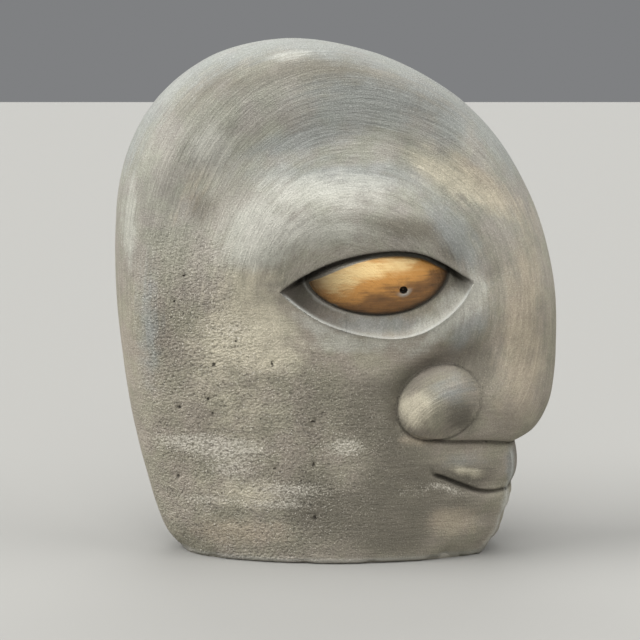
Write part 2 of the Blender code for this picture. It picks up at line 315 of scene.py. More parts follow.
@dataclass(frozen=True)
class HeadForm:
    """The head's sizes, in metres, and its places and reaches on the side view, as shares of its height.

    A span runs from the place where a form has faded out to the place where it is full. A ring is a middle
    and a width, as shares of its oval's own size.
    """

    height: float = 0.300
    cheek_width: float = 0.090
    foot_width: float = 0.076
    taper_level: float = 0.45
    half_way_up: float = 0.5
    below_ground: float = 0.1

    back_round: float = 0.030
    crown_round: float = 0.016
    bridge_round: float = 0.026
    tip_round: float = 0.023
    lip_round: float = 0.0065
    foot_round: float = 0.003
    lens_round: float = 0.084
    lens_at_crown: float = 0.42
    lens_at_foot: float = 0.87

    forehead_scoop: float = 0.0040
    brow_rise: float = 0.0120
    brow_fall: float = 0.0035
    groove_depth: float = 0.0022
    bridge_rise: float = 0.0028
    hollow_depth: float = 0.0052
    lid_rise: float = 0.0018
    pouch_rise: float = 0.0018
    shelf_drop: float = 0.0075
    lid_gap: float = 0.0052
    lid_edge: float = 0.0008
    ball_crease: float = 0.0011
    eye_seat: float = 0.0080
    eye_rise: float = 0.0150
    pupil_radius: float = 0.0022
    pupil_depth: float = 0.0050
    nose_step: float = 0.0055
    nose_crease: float = 0.0018
    wing_seat: float = 0.0020
    wing_rise: float = 0.0165
    wing_groove: float = 0.0022
    wing_line: float = 0.0012
    wing_fillet: float = 0.0022
    mouth_depth: float = 0.0040
    lip_rise: float = 0.0030
    under_lip_rise: float = 0.0015
    dip_depth: float = 0.0012
    chin_rise: float = 0.0015
    front_edge: float = 0.0050
    ball_crease_width: float = 0.0009

    brow_foot: Span = (0.51, 0.66)
    brow_foot_drop: float = 0.05
    brow_foot_back: Span = (0.0, -0.2)
    brow_shoulder: Span = (1.0, 0.60)
    brow_dish: Span = (0.55, 0.20)
    brow_back: Span = (-0.22, 0.0)
    brow_back_share: float = 0.55
    scoop_ring: Pair = (1.14, 0.18)
    scoop_foot: Span = (0.60, 0.75)
    rim_width: float = 0.024
    rim_edge_width: float = 0.0050
    rim_back: Span = (-0.14, -0.04)
    rim_front: Span = (0.285, 0.225)
    rim_inside: Span = (0.012, 0.0)
    front_inset: float = 0.016
    front_width: float = 0.0048
    lip_top: Span = (0.222, 0.210)
    nose_round: float = 0.022
    nose_back: Span = (0.11, 0.16)
    nose_top: Span = (0.42, 0.30)
    nose_crease_width: float = 0.005
    nose_crease_back: Span = (0.11, 0.14)
    wing_lean: float = 0.9
    wing_groove_ring: Pair = (1.05, 0.16)
    wing_groove_side: Span = (-0.02, 0.06)
    wing_line_ring: Pair = (1.02, 0.05)
    wing_crisp_least: float = 0.1
    wing_crisp_foot: Span = (-0.02, -0.06)
    wing_crisp_back: Span = (-0.04, 0.04)
    corner_back: float = 0.05
    corner_front: float = 0.04
    shelf_reach: float = 0.045
    shelf_lip: float = 0.3
    shelf_lip_share: float = 0.45
    lid_thickness: float = 0.004
    lid_gap_fade: Span = (0.016, 0.004)

    skull: Line = Line((
        (-0.303, 0.000), (-0.338, 0.046), (-0.378, 0.177), (-0.410, 0.345), (-0.426, 0.550), (-0.411, 0.750),
        (-0.350, 0.877), (-0.240, 0.965), (-0.089, 1.000), (0.090, 0.967), (0.254, 0.872), (0.365, 0.724),
        (0.419, 0.563), (0.430, 0.430), (0.416, 0.305), (0.388, 0.252), (0.352, 0.226)))
    upper_lip: Line = Line(((0.352, 0.226), (0.358, 0.190), (0.356, 0.160), (0.347, 0.138)))
    chin: Line = Line(((0.347, 0.138), (0.349, 0.115), (0.335, 0.072), (0.328, 0.045), (0.298, 0.000)))
    upper_lid: Line = Line((
        (-0.105, 0.535), (-0.058, 0.566), (0.000, 0.593), (0.055, 0.608), (0.113, 0.614), (0.160, 0.607),
        (0.200, 0.588), (0.229, 0.569), (0.256, 0.552)))
    lower_lid: Line = Line((
        (-0.105, 0.535), (-0.073, 0.508), (-0.036, 0.484), (0.005, 0.466), (0.050, 0.454), (0.100, 0.448),
        (0.135, 0.451), (0.175, 0.466), (0.213, 0.493), (0.238, 0.521), (0.256, 0.552)))
    brow_groove: Stripe = Stripe(
        Line(((0.060, 0.800), (0.140, 0.765), (0.200, 0.710), (0.250, 0.640), (0.285, 0.570))),
        width=0.022, sets_in=0.35, ends=1.2, fades=0.4)
    bridge: Stripe = Stripe(
        Line(((0.080, 0.825), (0.190, 0.795), (0.290, 0.735), (0.340, 0.630), (0.360, 0.500),
              (0.355, 0.360))),
        width=0.035, sets_in=0.5, ends=1.1, fades=0.4)
    nose_hollow: Stripe = Stripe(
        Line(((0.095, 0.290), (0.126, 0.352), (0.185, 0.392), (0.250, 0.415), (0.310, 0.440),
              (0.350, 0.470))),
        width=0.028, sets_in=0.35, ends=1.0, fades=0.5)
    nose_underside: Line = Line((
        (0.118, 0.285), (0.135, 0.268), (0.165, 0.253), (0.210, 0.245), (0.260, 0.242), (0.310, 0.236),
        (0.352, 0.226), (0.400, 0.216)))
    mouth_slit: Stripe = Stripe(
        Line(((0.180, 0.180), (0.205, 0.171), (0.240, 0.1545), (0.275, 0.139), (0.310, 0.134),
              (0.347, 0.138))),
        width=0.0036, sets_in=0.10)

    brow_oval: Oval = Oval((0.003, 0.520), 0.2925, 0.265)
    eye_oval: Oval = Oval((0.077, 0.573), 0.142, 0.092, 2.0)
    wing_oval: Oval = Oval((0.194, 0.320), 0.082, 0.068, 35.0)
    pouch_oval: Oval = Oval((0.250, 0.485), 0.080, 0.040, 42.0)
    lip_oval: Oval = Oval((0.270, 0.188), 0.080, 0.026, -10.0)
    under_lip_oval: Oval = Oval((0.290, 0.116), 0.060, 0.022)
    dip_oval: Oval = Oval((0.280, 0.085), 0.070, 0.016)
    chin_oval: Oval = Oval((0.250, 0.045), 0.090, 0.030)
    pupil: Place = (0.1245, 0.5395)

    def in_space(self, place: Array, side: Side) -> Array:
        """The carved surface's points over places on the side view, with the head's middle at Y = 0.

        Args:
            place: Places on the side view.
            side: Which side of the head.

        Returns:
            Metres: out to the side by the half thickness, forward as -Y, and up.
        """
        outline = self.skull.path()[:, 0]
        middle = 0.5 * (outline.min() + outline.max())
        out = side.value * self.half_thickness(place)
        return np.column_stack([out, (middle - place[:, 0]) * self.height, place[:, 1] * self.height])

    def silhouette(self) -> list[Array]:
        """The outline from the foot's back corner over the crown to its front corner, in three runs."""
        return [line.path() for line in (self.skull, self.upper_lip, self.chin)]

    def whole_outline(self) -> Array:
        """The outline in one path, with both ends carried straight on to a level below the ground.

        Returns:
            The path's points.
        """
        runs = self.silhouette()
        outline = np.vstack([run[:-1] for run in runs] + [runs[-1][-1:]])
        ends = [last + (last - before) * self.below_ground / (before - last)[1]
                for last, before in ((outline[0], outline[1]), (outline[-1], outline[-2]))]
        return np.vstack([ends[:1], outline, ends[1:]])

    def edge_depth(self, place: Array) -> Array:
        """How far in the edge rounds over here, by the bearing from the middle of the side view.

        Args:
            place: Places on the side view.

        Returns:
            Depths in metres, read between the named roundings at their bearings.
        """
        rounds = (
            (-180, self.back_round), (-120, self.tip_round), (-60, self.lip_round), (-38, self.lip_round),
            (-28, self.tip_round), (0, self.bridge_round), (35, self.bridge_round), (70, self.crown_round),
            (130, self.back_round), (180, self.back_round))
        forward, up = place.T
        bearings, depths = zip(*rounds)
        bearing = np.degrees(np.arctan2(up - self.half_way_up, forward))
        return np.interp(bearing, bearings, depths)

    def slab(self, place: Array) -> tuple[Array, Array]:
        """The plain slab: a quarter ellipse over a tight edge and a second one over a wide lens, mixed.

        Args:
            place: Places on the side view.

        Returns:
            The half thickness in metres, and the share of it that the rounded edge leaves.
        """
        inward = nearest(place, self.whole_outline())[0] * self.height
        low = 1.0 - step(place[:, 1] / self.taper_level)
        lens = self.lens_at_crown + (self.lens_at_foot - self.lens_at_crown) * low
        tight, wide = (np.sqrt(1.0 - (1.0 - np.clip(inward / depth, 0.0, 1.0)) ** 2)
                       for depth in (self.edge_depth(place), self.lens_round))
        edge = (1.0 - lens) * tight + lens * wide
        half = 0.5 * (self.cheek_width + (self.foot_width - self.cheek_width) * low)
        foot = np.clip(1.0 - place[:, 1] * self.height / self.foot_round, 0.0, 1.0)
        return (half - self.foot_round * (1.0 - np.sqrt(1.0 - foot ** 2))) * edge, edge

    def brow(self, place: Array) -> Array:
        """The arched brow over the eye, the scoop of the forehead above it and the groove beside the bridge.

        Args:
            place: Places on the side view.

        Returns:
            Metres to add to the slab: steps for the arch, bells for the scoop, the groove and the bridge.
        """
        forward, up = place.T
        out = self.brow_oval.out(place)
        foot = between(up + self.brow_foot_drop * between(forward, *self.brow_foot_back), *self.brow_foot)
        arch = self.brow_rise * between(out, *self.brow_shoulder)
        arch = arch - self.brow_fall * between(out, *self.brow_dish)
        before = between(forward, *self.brow_back)
        arch = arch * (self.brow_back_share + (1.0 - self.brow_back_share) * before)
        ring, width = self.scoop_ring
        scoop = self.forehead_scoop * hump((out - ring) / width) * between(up, *self.scoop_foot)
        groove = self.groove_depth * self.brow_groove.on(place)
        return arch * foot - scoop - groove + self.bridge_rise * self.bridge.on(place)

    def cheek(self, place: Array) -> Array:
        """The rim of the lower lid, the pouch under it and the hollow between the eye and the nose.

        Args:
            place: Places on the side view.

        Returns:
            Metres to add to the slab: bells around the lid's line, the pouch's oval and the hollow's line.
        """
        forward, up = place.T
        gap = self.lower_lid.near(place)[0]
        over = up - self.lower_lid.level(forward)
        ends = between(forward, *self.rim_back) * between(forward, *self.rim_front)
        rim = self.lid_rise * hump(gap / self.rim_width) + self.lid_edge * hump(gap / self.rim_edge_width)
        rim = rim * ends * between(over, *self.rim_inside)
        rim = rim + self.pouch_rise * self.pouch_oval.spot(place)
        return rim - self.hollow_depth * self.nose_hollow.on(place)

    def mouth(self, place: Array) -> Array:
        """The slit of the mouth, the swell of the lips and the chin, and the crisp edge at their front.

        The slit is a narrow bell about its line, and the edge a bell a little in from the silhouette.

        Args:
            place: Places on the side view.

        Returns:
            Metres to add to the slab.
        """
        swell = self.lip_rise * self.lip_oval.spot(place)
        swell = swell + self.under_lip_rise * self.under_lip_oval.spot(place)
        swell = swell + self.front_edge * self.along_front(place)
        swell = swell + self.chin_rise * self.chin_oval.spot(place)
        swell = swell - self.dip_depth * self.dip_oval.spot(place)
        return swell - self.mouth_depth * self.mouth_slit.on(place)

    def front(self) -> Array:
        """The silhouette below the nose: the upper lip's line and the chin's, as one path."""
        return np.vstack([self.upper_lip.path()[:-1], self.chin.path()])

    def along_front(self, place: Array) -> Array:
        """Where the side turns into the front of lips and chin: a bell about a line near the silhouette."""
        gap = nearest(place, self.front())[0]
        return hump((gap - self.front_inset) / self.front_width) * between(place[:, 1], *self.lip_top)

    def nose(self, place: Array, side: Array, plain: Array) -> Array:
        """The nose's side, stepped up over its underside line, with the round wing set on it in a crease.

        Args:
            place: Places on the side view.
            side: The half thickness so far.
            plain: The plain slab's half thickness.

        Returns:
            The half thickness with the nose: a quarter ellipse for the step, bells for the creases, and a
            ball's cap for the wing.
        """
        forward, up = place.T
        above = up - self.nose_underside.level(forward)
        lift = np.clip(above / self.nose_round, 0.0, 1.0)
        reach = between(forward, *self.nose_back) * between(up, *self.nose_top)
        side = side + self.nose_step * np.sqrt(1.0 - (1.0 - lift) ** 2) * reach
        crease = hump(above / self.nose_crease_width) * between(forward, *self.nose_crease_back)
        side = side - self.nose_crease * crease
        out = self.wing_oval.out(place)
        (groove, groove_width), (line, line_width) = self.wing_groove_ring, self.wing_line_ring
        behind = between(self.behind_wing(place), *self.wing_groove_side)
        side = side - self.wing_groove * hump((out - groove) / groove_width) * behind
        side = side - self.wing_line * hump((out - line) / line_width) * self.wing_crispness(place)
        wing = plain - self.wing_seat + cap(out, self.wing_oval.tall * self.height, self.wing_rise)
        return blend_up(side, wing, self.wing_fillet)

    def wing_crispness(self, place: Array) -> Array:
        """How crisply the wing is cut round, from 0 to 1: at its back, its top and its foot, not in front.

        Args:
            place: Places on the side view.

        Returns:
            The greater of a step down at the foot and a step up behind, over a small least value.
        """
        low = between(place[:, 1] - self.wing_oval.centre[1], *self.wing_crisp_foot)
        crisp = np.maximum(low, between(self.behind_wing(place), *self.wing_crisp_back))
        return self.wing_crisp_least + (1.0 - self.wing_crisp_least) * crisp

    def behind_wing(self, place: Array) -> Array:
        """How far each place is up and back from the wing's centre, square to a line that leans forward."""
        forward, up = place.T
        return (up - self.wing_oval.centre[1]) - self.wing_lean * (forward - self.wing_oval.centre[0])

    def opening(self, place: Array) -> tuple[Array, Array, Array, Array]:
        """Where each place is between the lids.

        Args:
            place: Places on the side view.

        Returns:
            Whether it is inside, how far under the upper lid and over the lower one it is, and how far the
            opening has widened from its nearer corner, from 0 to 1.
        """
        forward, up = place.T
        upper, lower = self.upper_lid.level(forward), self.lower_lid.level(forward)
        first, last = self.upper_lid.places[0][0], self.upper_lid.places[-1][0]
        inside = (up > lower) & (up < upper) & (forward > first) & (forward < last)
        taper = step((forward - first) / self.corner_back) * step((last - forward) / self.corner_front)
        return inside, upper - up, up - lower, taper

    def shelf_and_ball(self, place: Array, plain: Array) -> tuple[Array, Array]:
        """The two surfaces inside the lids: the shelf that drops from the lower rim, and the eyeball's cap.

        Args:
            place: Places on the side view.
            plain: The plain slab's half thickness.

        Returns:
            The half thickness of each.
        """
        over, taper = self.opening(place)[2:]
        rise = over / self.shelf_reach
        lip = self.shelf_lip_share * step(rise / self.shelf_lip)
        drop = self.shelf_drop * taper * (lip + (1.0 - self.shelf_lip_share) * np.clip(rise, 0.0, 1.0))
        ball = cap(self.eye_oval.out(place), self.eye_oval.tall * self.height, self.eye_rise)
        return plain + self.lid_rise - drop, plain - self.eye_seat + ball

    def eye(self, place: Array, side: Array, plain: Array) -> Array:
        """The eye behind its lids: the greater of shelf and ball, undercut beneath the upper lid.

        Args:
            place: Places on the side view.
            side: The half thickness so far.
            plain: The plain slab's half thickness.

        Returns:
            The half thickness with the eye.
        """
        within, under, _, taper = self.opening(place)
        shelf, ball = self.shelf_and_ball(place, plain)
        inside = np.maximum(shelf, ball)
        inside = inside - self.lid_gap * taper * between(under, *self.lid_gap_fade)
        inside = inside - self.ball_crease * taper * hump((ball - shelf) / self.ball_crease_width)
        carved = side + (inside - side) * np.clip(under / self.lid_thickness, 0.0, 1.0)
        return np.where(within, carved, side)

    def half_thickness(self, place: Array) -> Array:
        """How far the side stands out from the middle plane.

        Args:
            place: Places on the side view.

        Returns:
            Metres: the slab, plus the carving scaled down towards the edge, then the nose, the eye and the
            pupil's hole.
        """
        plain, edge = self.slab(place)
        side = plain + (self.brow(place) + self.cheek(place) + self.mouth(place)) * edge
        side = self.eye(place, self.nose(place, side, plain), plain)
        out = np.linalg.norm((place - self.pupil) * self.height, axis=1)
        side = side - self.pupil_depth * (out < self.pupil_radius)
        return np.where(edge > 0.0, np.maximum(side, 0.0), 0.0)


@dataclass(frozen=True)
class RingGrid:
    """Rings of places around the pupil, which gather where the form turns sharply and at the air holes."""

    form: HeadForm
    columns: int = 436
    trials: int = 160
    crowding: float = 2.0
    softening: int = 8
    lid_search: Span = (0.02, 0.98)
    lid_trials: int = 481
    hole_rings: tuple[float, ...] = (0.50, 0.98, 1.02, 1.18, 1.35)

    @staticmethod
    def evenly(path: Array, spacing: float) -> Array:
        """The path again, with evenly spaced points and the same two ends.

        Args:
            path: The path's points.
            spacing: The distance between two new points, about.

        Returns:
            The new points.
        """
        lengths = np.concatenate([[0.0], np.cumsum(np.linalg.norm(np.diff(path, axis=0), axis=1))])
        marks = np.linspace(0.0, lengths[-1], max(2, int(round(lengths[-1] / spacing))) + 1)
        return np.column_stack([np.interp(marks, lengths, path[:, i]) for i in range(2)])

    def boundary(self) -> tuple[Array, int]:
        """The closed edge of the side view: the silhouette, then the foot back to the start.

        Returns:
            Its points, and how many of them are on the silhouette.
        """
        runs = self.form.silhouette()
        ends = runs[0][0], runs[-1][-1]
        total = sum(np.linalg.norm(np.diff(run, axis=0), axis=1).sum() for run in runs)
        spacing = (total + np.linalg.norm(ends[1] - ends[0])) / self.columns
        outline = np.vstack([self.evenly(run, spacing)[:-1] for run in runs] + [runs[-1][-1:]])
        foot = self.evenly(np.vstack([ends[1], ends[0]]), spacing)[1:-1]
        return np.vstack([outline, foot]), len(outline)

    def lid_share(self, rays: Array) -> Array:
        """Where each ray from the pupil leaves the eye, by trying places along it.

        Args:
            rays: The ray from the pupil to each boundary point.

        Returns:
            Shares of the rays.
        """
        steps = np.linspace(*self.lid_search, self.lid_trials)
        places = self.form.pupil + steps[:, None, None] * rays
        within = self.form.opening(places.reshape(-1, 2))[0].reshape(places.shape[:2])
        return steps[np.maximum(within.sum(axis=0) - 1, 0)]

    def softened(self, values: Array) -> Array:
        """The grid's values, each averaged with its neighbours a few times, along the rays and around.

        Args:
            values: Values by step and column.

        Returns:
            The softened values.
        """
        for _ in range(self.softening):
            along = np.pad(values, ((1, 1), (0, 0)), mode="edge")
            values = 0.5 * values + 0.25 * (along[:-2] + along[2:])
            values = 0.5 * values + 0.25 * (np.roll(values, 1, axis=1) + np.roll(values, -1, axis=1))
        return values

    def passed(self, rays: Array, first: Array, last: Array) -> tuple[Array, Array]:
        """How much way and turning each ray has passed at many trial places from the first share to the last.

        The turning is the change of the form's slope angle along the ray, averaged with its neighbours. Each
        step counts once for the way, and so many times its turning as a share of the mean turning.

        Args:
            rays: The ray from the pupil to each boundary point.
            first: The share of each ray to start from.
            last: The share of each ray to end on.

        Returns:
            The trial shares, and what is passed at each, as a share of the whole.
        """
        trial = first + (last - first) * np.linspace(0.0, 1.0, self.trials)[:, None]
        places = (self.form.pupil + trial[..., None] * rays).reshape(-1, 2)
        out = self.form.half_thickness(places).reshape(trial.shape)
        along = trial * np.linalg.norm(rays, axis=1) * self.form.height
        slope = np.arctan(np.gradient(out, axis=0) / np.gradient(along, axis=0))
        crowd = self.softened(np.abs(np.gradient(slope, axis=0)))
        crowd = 1.0 + self.crowding * crowd / crowd.mean()
        passed = np.cumsum(crowd, axis=0) - crowd[0]
        return trial, passed / passed[-1]

    @staticmethod
    def spread(trial: Array, passed: Array, rings: int) -> Array:
        """Shares of each ray at which equal parts of the way and turning are passed.

        Args:
            trial: The trial shares by step and column.
            passed: What is passed at each, from 0 to 1.
            rings: How many rings to place.

        Returns:
            One row of shares for each ring.
        """
        marks = np.linspace(0.0, 1.0, rings + 1)[1:]
        return np.column_stack([np.interp(marks, p, t) for p, t in zip(passed.T, trial.T)])

    def places(self, rings: tuple[tuple[int, int], ...]) -> tuple[list[Array], int]:
        """Every place of a grid: rings in and about the pupil's hole, then on the eye and on the cheek.

        Args:
            rings: For each grid wanted, its rings between the lids and its rings on the cheek.

        Returns:
            For each grid its places by ring and column, and how many columns end on the silhouette.
        """
        rim, on_silhouette = self.boundary()
        rays = rim - self.form.pupil
        lids = self.lid_share(rays)
        hole = self.form.pupil_radius / self.form.height / np.linalg.norm(rays, axis=1)
        eye = self.passed(rays, self.hole_rings[-1] * hole, lids)
        cheek = self.passed(rays, lids, np.ones_like(lids))
        grids = []
        for lid_rings, cheek_rings in rings:
            parts = [share * hole for share in self.hole_rings]
            parts += [self.spread(*eye, lid_rings), self.spread(*cheek, cheek_rings)]
            grids.append(self.form.pupil + np.vstack(parts)[..., None] * rays)
        return grids, on_silhouette


# The hand of the maker


@dataclass(frozen=True)
class AirHole:
    """A bubble of trapped air, opened by the trowel: half width and depth in millimetres, and how tall."""

    place: Place
    radius: float
    depth: float
    tallness: float = 1.0

    def scale(self) -> Array:
        """Half its width and height in millimetres."""
        return self.radius * np.array([1.0, self.tallness])


@dataclass(frozen=True)
class Chip:
    """A chip knocked off an edge: its place, and its radius and depth in millimetres."""

    place: Place
    radius: float
    depth: float


@dataclass(frozen=True)
class Workmanship:
    """Unevenness that trowelling and casting leave, all of it cut into the form.

    Depths and the sizes of lumps are in metres, the sizes of facets and strokes in millimetres, and places,
    levels and reaches on the side view are shares of the height.
    """

    form: HeadForm
    uneven: float = 0.00042
    sunk: float = 0.6
    lump_sizes: Pair = (0.034, 0.013)
    broad_share: float = 0.65
    facets: float = 0.00010
    facet_size: Pair = (38.0, 6.5)
    calm_in_eye: float = 0.25
    pull: float = 0.020
    pull_least: float = 0.25
    chip_crumb: float = 0.002
    chip_crumb_share: float = 0.3
    far_chips: float = -0.8
    seed: float = 11.0
    far_seed: float = 3.0
    wander_seed: float = 21.0

    sand_front: Span = (0.21, -0.05)
    sand_front_level: float = 0.24
    sand_front_slant: float = 0.40
    sand_back: Span = (-0.41, -0.33)
    sand_top: float = 0.72
    sand_top_drop: float = 0.20
    sand_top_back: Span = (-0.25, -0.10)
    sand_top_fade: float = 0.22

    level_top: float = 0.52
    level_fade: float = 0.14
    level_front: float = 0.20
    level_front_slope: float = 1.1
    level_back: float = -0.25
    level_back_slope: float = 0.5
    level_bump: float = 0.08
    level_bump_middle: float = -0.15
    level_bump_width: float = 0.12
    level_off_wing: Span = (1.0, 1.2)

    stroke_middle: Place = (0.02, 0.50)
    stroke_radius: float = 90.0
    stroke_stretch: float = 1.35
    ridge_reach: float = 0.036
    ridge_slant: float = 0.25
    wander: tuple[Pair, ...] = ((1.2, 0.050), (0.35, 0.014))
    wing_rim: float = 1.02
    wing_stroke_middle: Place = (0.245, 0.235)
    wing_stroke_radius: float = 24.0
    sides_apart: float = 400.0

    holes: tuple[AirHole, ...] = (
        AirHole((-0.284, 0.563), 1.0, 0.9, 0.7), AirHole((-0.120, 0.397), 0.8, 1.0, 2.2),
        AirHole((-0.229, 0.395), 1.4, 0.7), AirHole((-0.241, 0.329), 1.0, 1.0),
        AirHole((-0.296, 0.310), 1.4, 1.3), AirHole((-0.233, 0.300), 1.1, 1.1, 0.8),
        AirHole((-0.043, 0.285), 1.5, 1.3, 0.6), AirHole((-0.042, 0.200), 1.1, 1.2, 1.3),
        AirHole((-0.116, 0.193), 1.3, 0.9, 0.5), AirHole((-0.302, 0.170), 1.1, 1.0),
        AirHole((-0.039, 0.095), 1.3, 1.3, 1.2), AirHole((-0.302, 0.515), 0.8, 0.7),
        AirHole((-0.187, 0.441), 0.8, 0.6))
    far_holes: tuple[AirHole, ...] = (
        AirHole((-0.205, 0.470), 0.9, 0.9), AirHole((-0.290, 0.410), 1.3, 1.0, 0.7),
        AirHole((-0.090, 0.345), 1.0, 1.1), AirHole((-0.178, 0.262), 1.3, 1.1, 1.2),
        AirHole((0.022, 0.236), 0.9, 0.9), AirHole((-0.262, 0.188), 1.2, 1.0, 0.6),
        AirHole((-0.120, 0.122), 1.2, 1.2), AirHole((0.070, 0.110), 0.8, 0.8),
        AirHole((-0.020, 0.905), 0.8, 0.8))
    chips: tuple[Chip, ...] = (
        Chip((0.215, 0.004), 5.0, 3.6), Chip((0.185, 0.002), 3.0, 2.0), Chip((0.243, 0.003), 3.0, 2.4),
        Chip((-0.235, 0.003), 3.6, 1.8), Chip((-0.297, 0.008), 3.2, 1.5), Chip((-0.060, 0.001), 4.0, 1.2),
        Chip((0.070, 0.001), 3.2, 1.2), Chip((0.346, 0.110), 2.6, 1.2), Chip((0.341, 0.083), 2.2, 1.1),
        Chip((0.332, 0.052), 2.4, 1.0), Chip((0.312, 0.016), 3.0, 1.2))

    def holes_on(self, side: Side) -> tuple[AirHole, ...]:
        """The air holes of one side."""
        return self.holes if side is Side.SHOWN else self.far_holes

    def pulled(self, places: Array, side: Side) -> Array:
        """The grid's places drawn in towards each air hole, so that enough of them lie within it.

        Within the pull's reach the distance from the hole's middle is multiplied by a small share at the
        middle and by one at the reach, rising as the S-shaped step.

        Args:
            places: Places on the side view by ring and column.
            side: Which side of the head.

        Returns:
            The places, with the outermost ring as it was.
        """
        moved = places.copy()
        for hole in self.holes_on(side):
            away = moved - hole.place
            reach = step(np.linalg.norm(away, axis=-1, keepdims=True) / self.pull)
            moved = hole.place + away * (self.pull_least + (1.0 - self.pull_least) * reach)
        moved[-1] = places[-1]
        return moved

    def sandy(self, place: Array) -> Array:
        """How sandy the surface is, from 0 to 1: rough low down at the back, smooth on the face and crown.

        Args:
            place: Places on the side view.

        Returns:
            A soft product of steps: behind the mouth, below the brow, and off the very back.
        """
        forward, up = place.T
        slanted = forward + self.sand_front_slant * np.abs(up - self.sand_front_level)
        top = self.sand_top - self.sand_top_drop * between(forward, *self.sand_top_back)
        below = step((top - up) / self.sand_top_fade)
        return between(slanted, *self.sand_front) * below * between(forward, *self.sand_back)

    def level(self, place: Array) -> Array:
        """Where the strokes run level, from 0 to 1: below the eye, and below the nose at the front.

        Args:
            place: Places on the side view.

        Returns:
            A step down across a line that drops towards the front and the back, and rises behind the eye.
        """
        forward, up = place.T
        drop = self.level_front_slope * np.maximum(forward - self.level_front, 0.0)
        drop = drop + self.level_back_slope * np.maximum(self.level_back - forward, 0.0)
        rise = self.level_bump * hump((forward - self.level_bump_middle) / self.level_bump_width)
        off_wing = between(self.form.wing_oval.out(place), *self.level_off_wing)
        return step((self.level_top + rise - up - drop) / self.level_fade) * off_wing

    def stroke(self, points: Array, place: Array) -> Array:
        """Where each place is along and across the strokes, which run round the eye and each nose wing.

        Across is the distance from the eye's middle, with the way behind it stretched, and with the way round
        the edge, a slant over the ridge and a little wandering added. Along is the bearing from straight up,
        times the mean radius. On a wing both are counted from a point under its front.

        Args:
            points: Places in space, in metres.
            place: The same places on the side view.

        Returns:
            Millimetres along and across, and a third value that tells the two sides apart.
        """
        x, y = (place - self.stroke_middle).T * self.form.height / MM
        stretched = np.hypot(x * np.where(x < 0.0, self.stroke_stretch, 1.0), y)
        out = points[:, 0]
        edge = (np.maximum(self.ridge_reach - np.abs(out), 0.0) + self.ridge_slant * out) / MM
        wander = sum(far * lumps(points, size, self.wander_seed + i)
                     for i, (far, size) in enumerate(self.wander))
        round_eye = self.stroke_radius * np.arctan2(x, y), stretched + edge + wander
        x, y = (place - self.wing_stroke_middle).T * self.form.height / MM
        round_wing = self.wing_stroke_radius * np.arctan2(x, y), np.hypot(x, y)
        along, across = np.where(self.form.wing_oval.out(place) < self.wing_rim, round_wing, round_eye)
        return np.stack([along, across, out * self.sides_apart], axis=-1)

    def relief(self, points: Array, place: Array, side: Side) -> Array:
        """How far the surface lies in or out of the form, along its normal.

        Wide lumps and flatter ones along the strokes make it uneven, each air hole is a parabola within its
        radius, and each chip is a bell on the edge of the foot or of the front.

        Args:
            points: Places in space, in metres.
            place: The same places on the side view.
            side: Which side of the head they are on.

        Returns:
            Metres, mostly inwards.
        """
        seed = self.seed if side is Side.SHOWN else self.far_seed
        broad, small = (lumps(points, size, seed + i) for i, size in enumerate(self.lump_sizes))
        wide = self.broad_share * broad + (1.0 - self.broad_share) * small
        level = self.level(place)
        length, width = self.facet_size
        turned = lumps(self.stroke(points, place) / (length, width, SIDES_SIZE), 1.0, seed + 2.0)
        flat = lumps(points / MM / (length, length, width), 1.0, seed + 3.0)
        facets = flat * level + turned * (1.0 - level)
        calm = np.where(self.form.opening(place)[0], self.calm_in_eye, 1.0)
        offset = (self.uneven * (wide - self.sunk) + self.facets * facets) * calm
        for hole in self.holes_on(side):
            away = np.linalg.norm((place - hole.place) * self.form.height / MM / hole.scale(), axis=1)
            offset = offset - hole.depth * MM * np.sqrt(np.clip(1.0 - away ** 2, 0.0, 1.0))
        crumb = self.chip_crumb_share * (lumps(points, self.chip_crumb, seed + 5.0) - 1.0) + 1.0
        for chip in self.chips:
            forward, up = chip.place
            centre = (forward if side is Side.SHOWN else self.far_chips * forward, up)
            away = np.linalg.norm((place - centre) * self.form.height / MM, axis=1) / chip.radius
            offset = offset - chip.depth * MM * hump(away) * crumb
        return offset


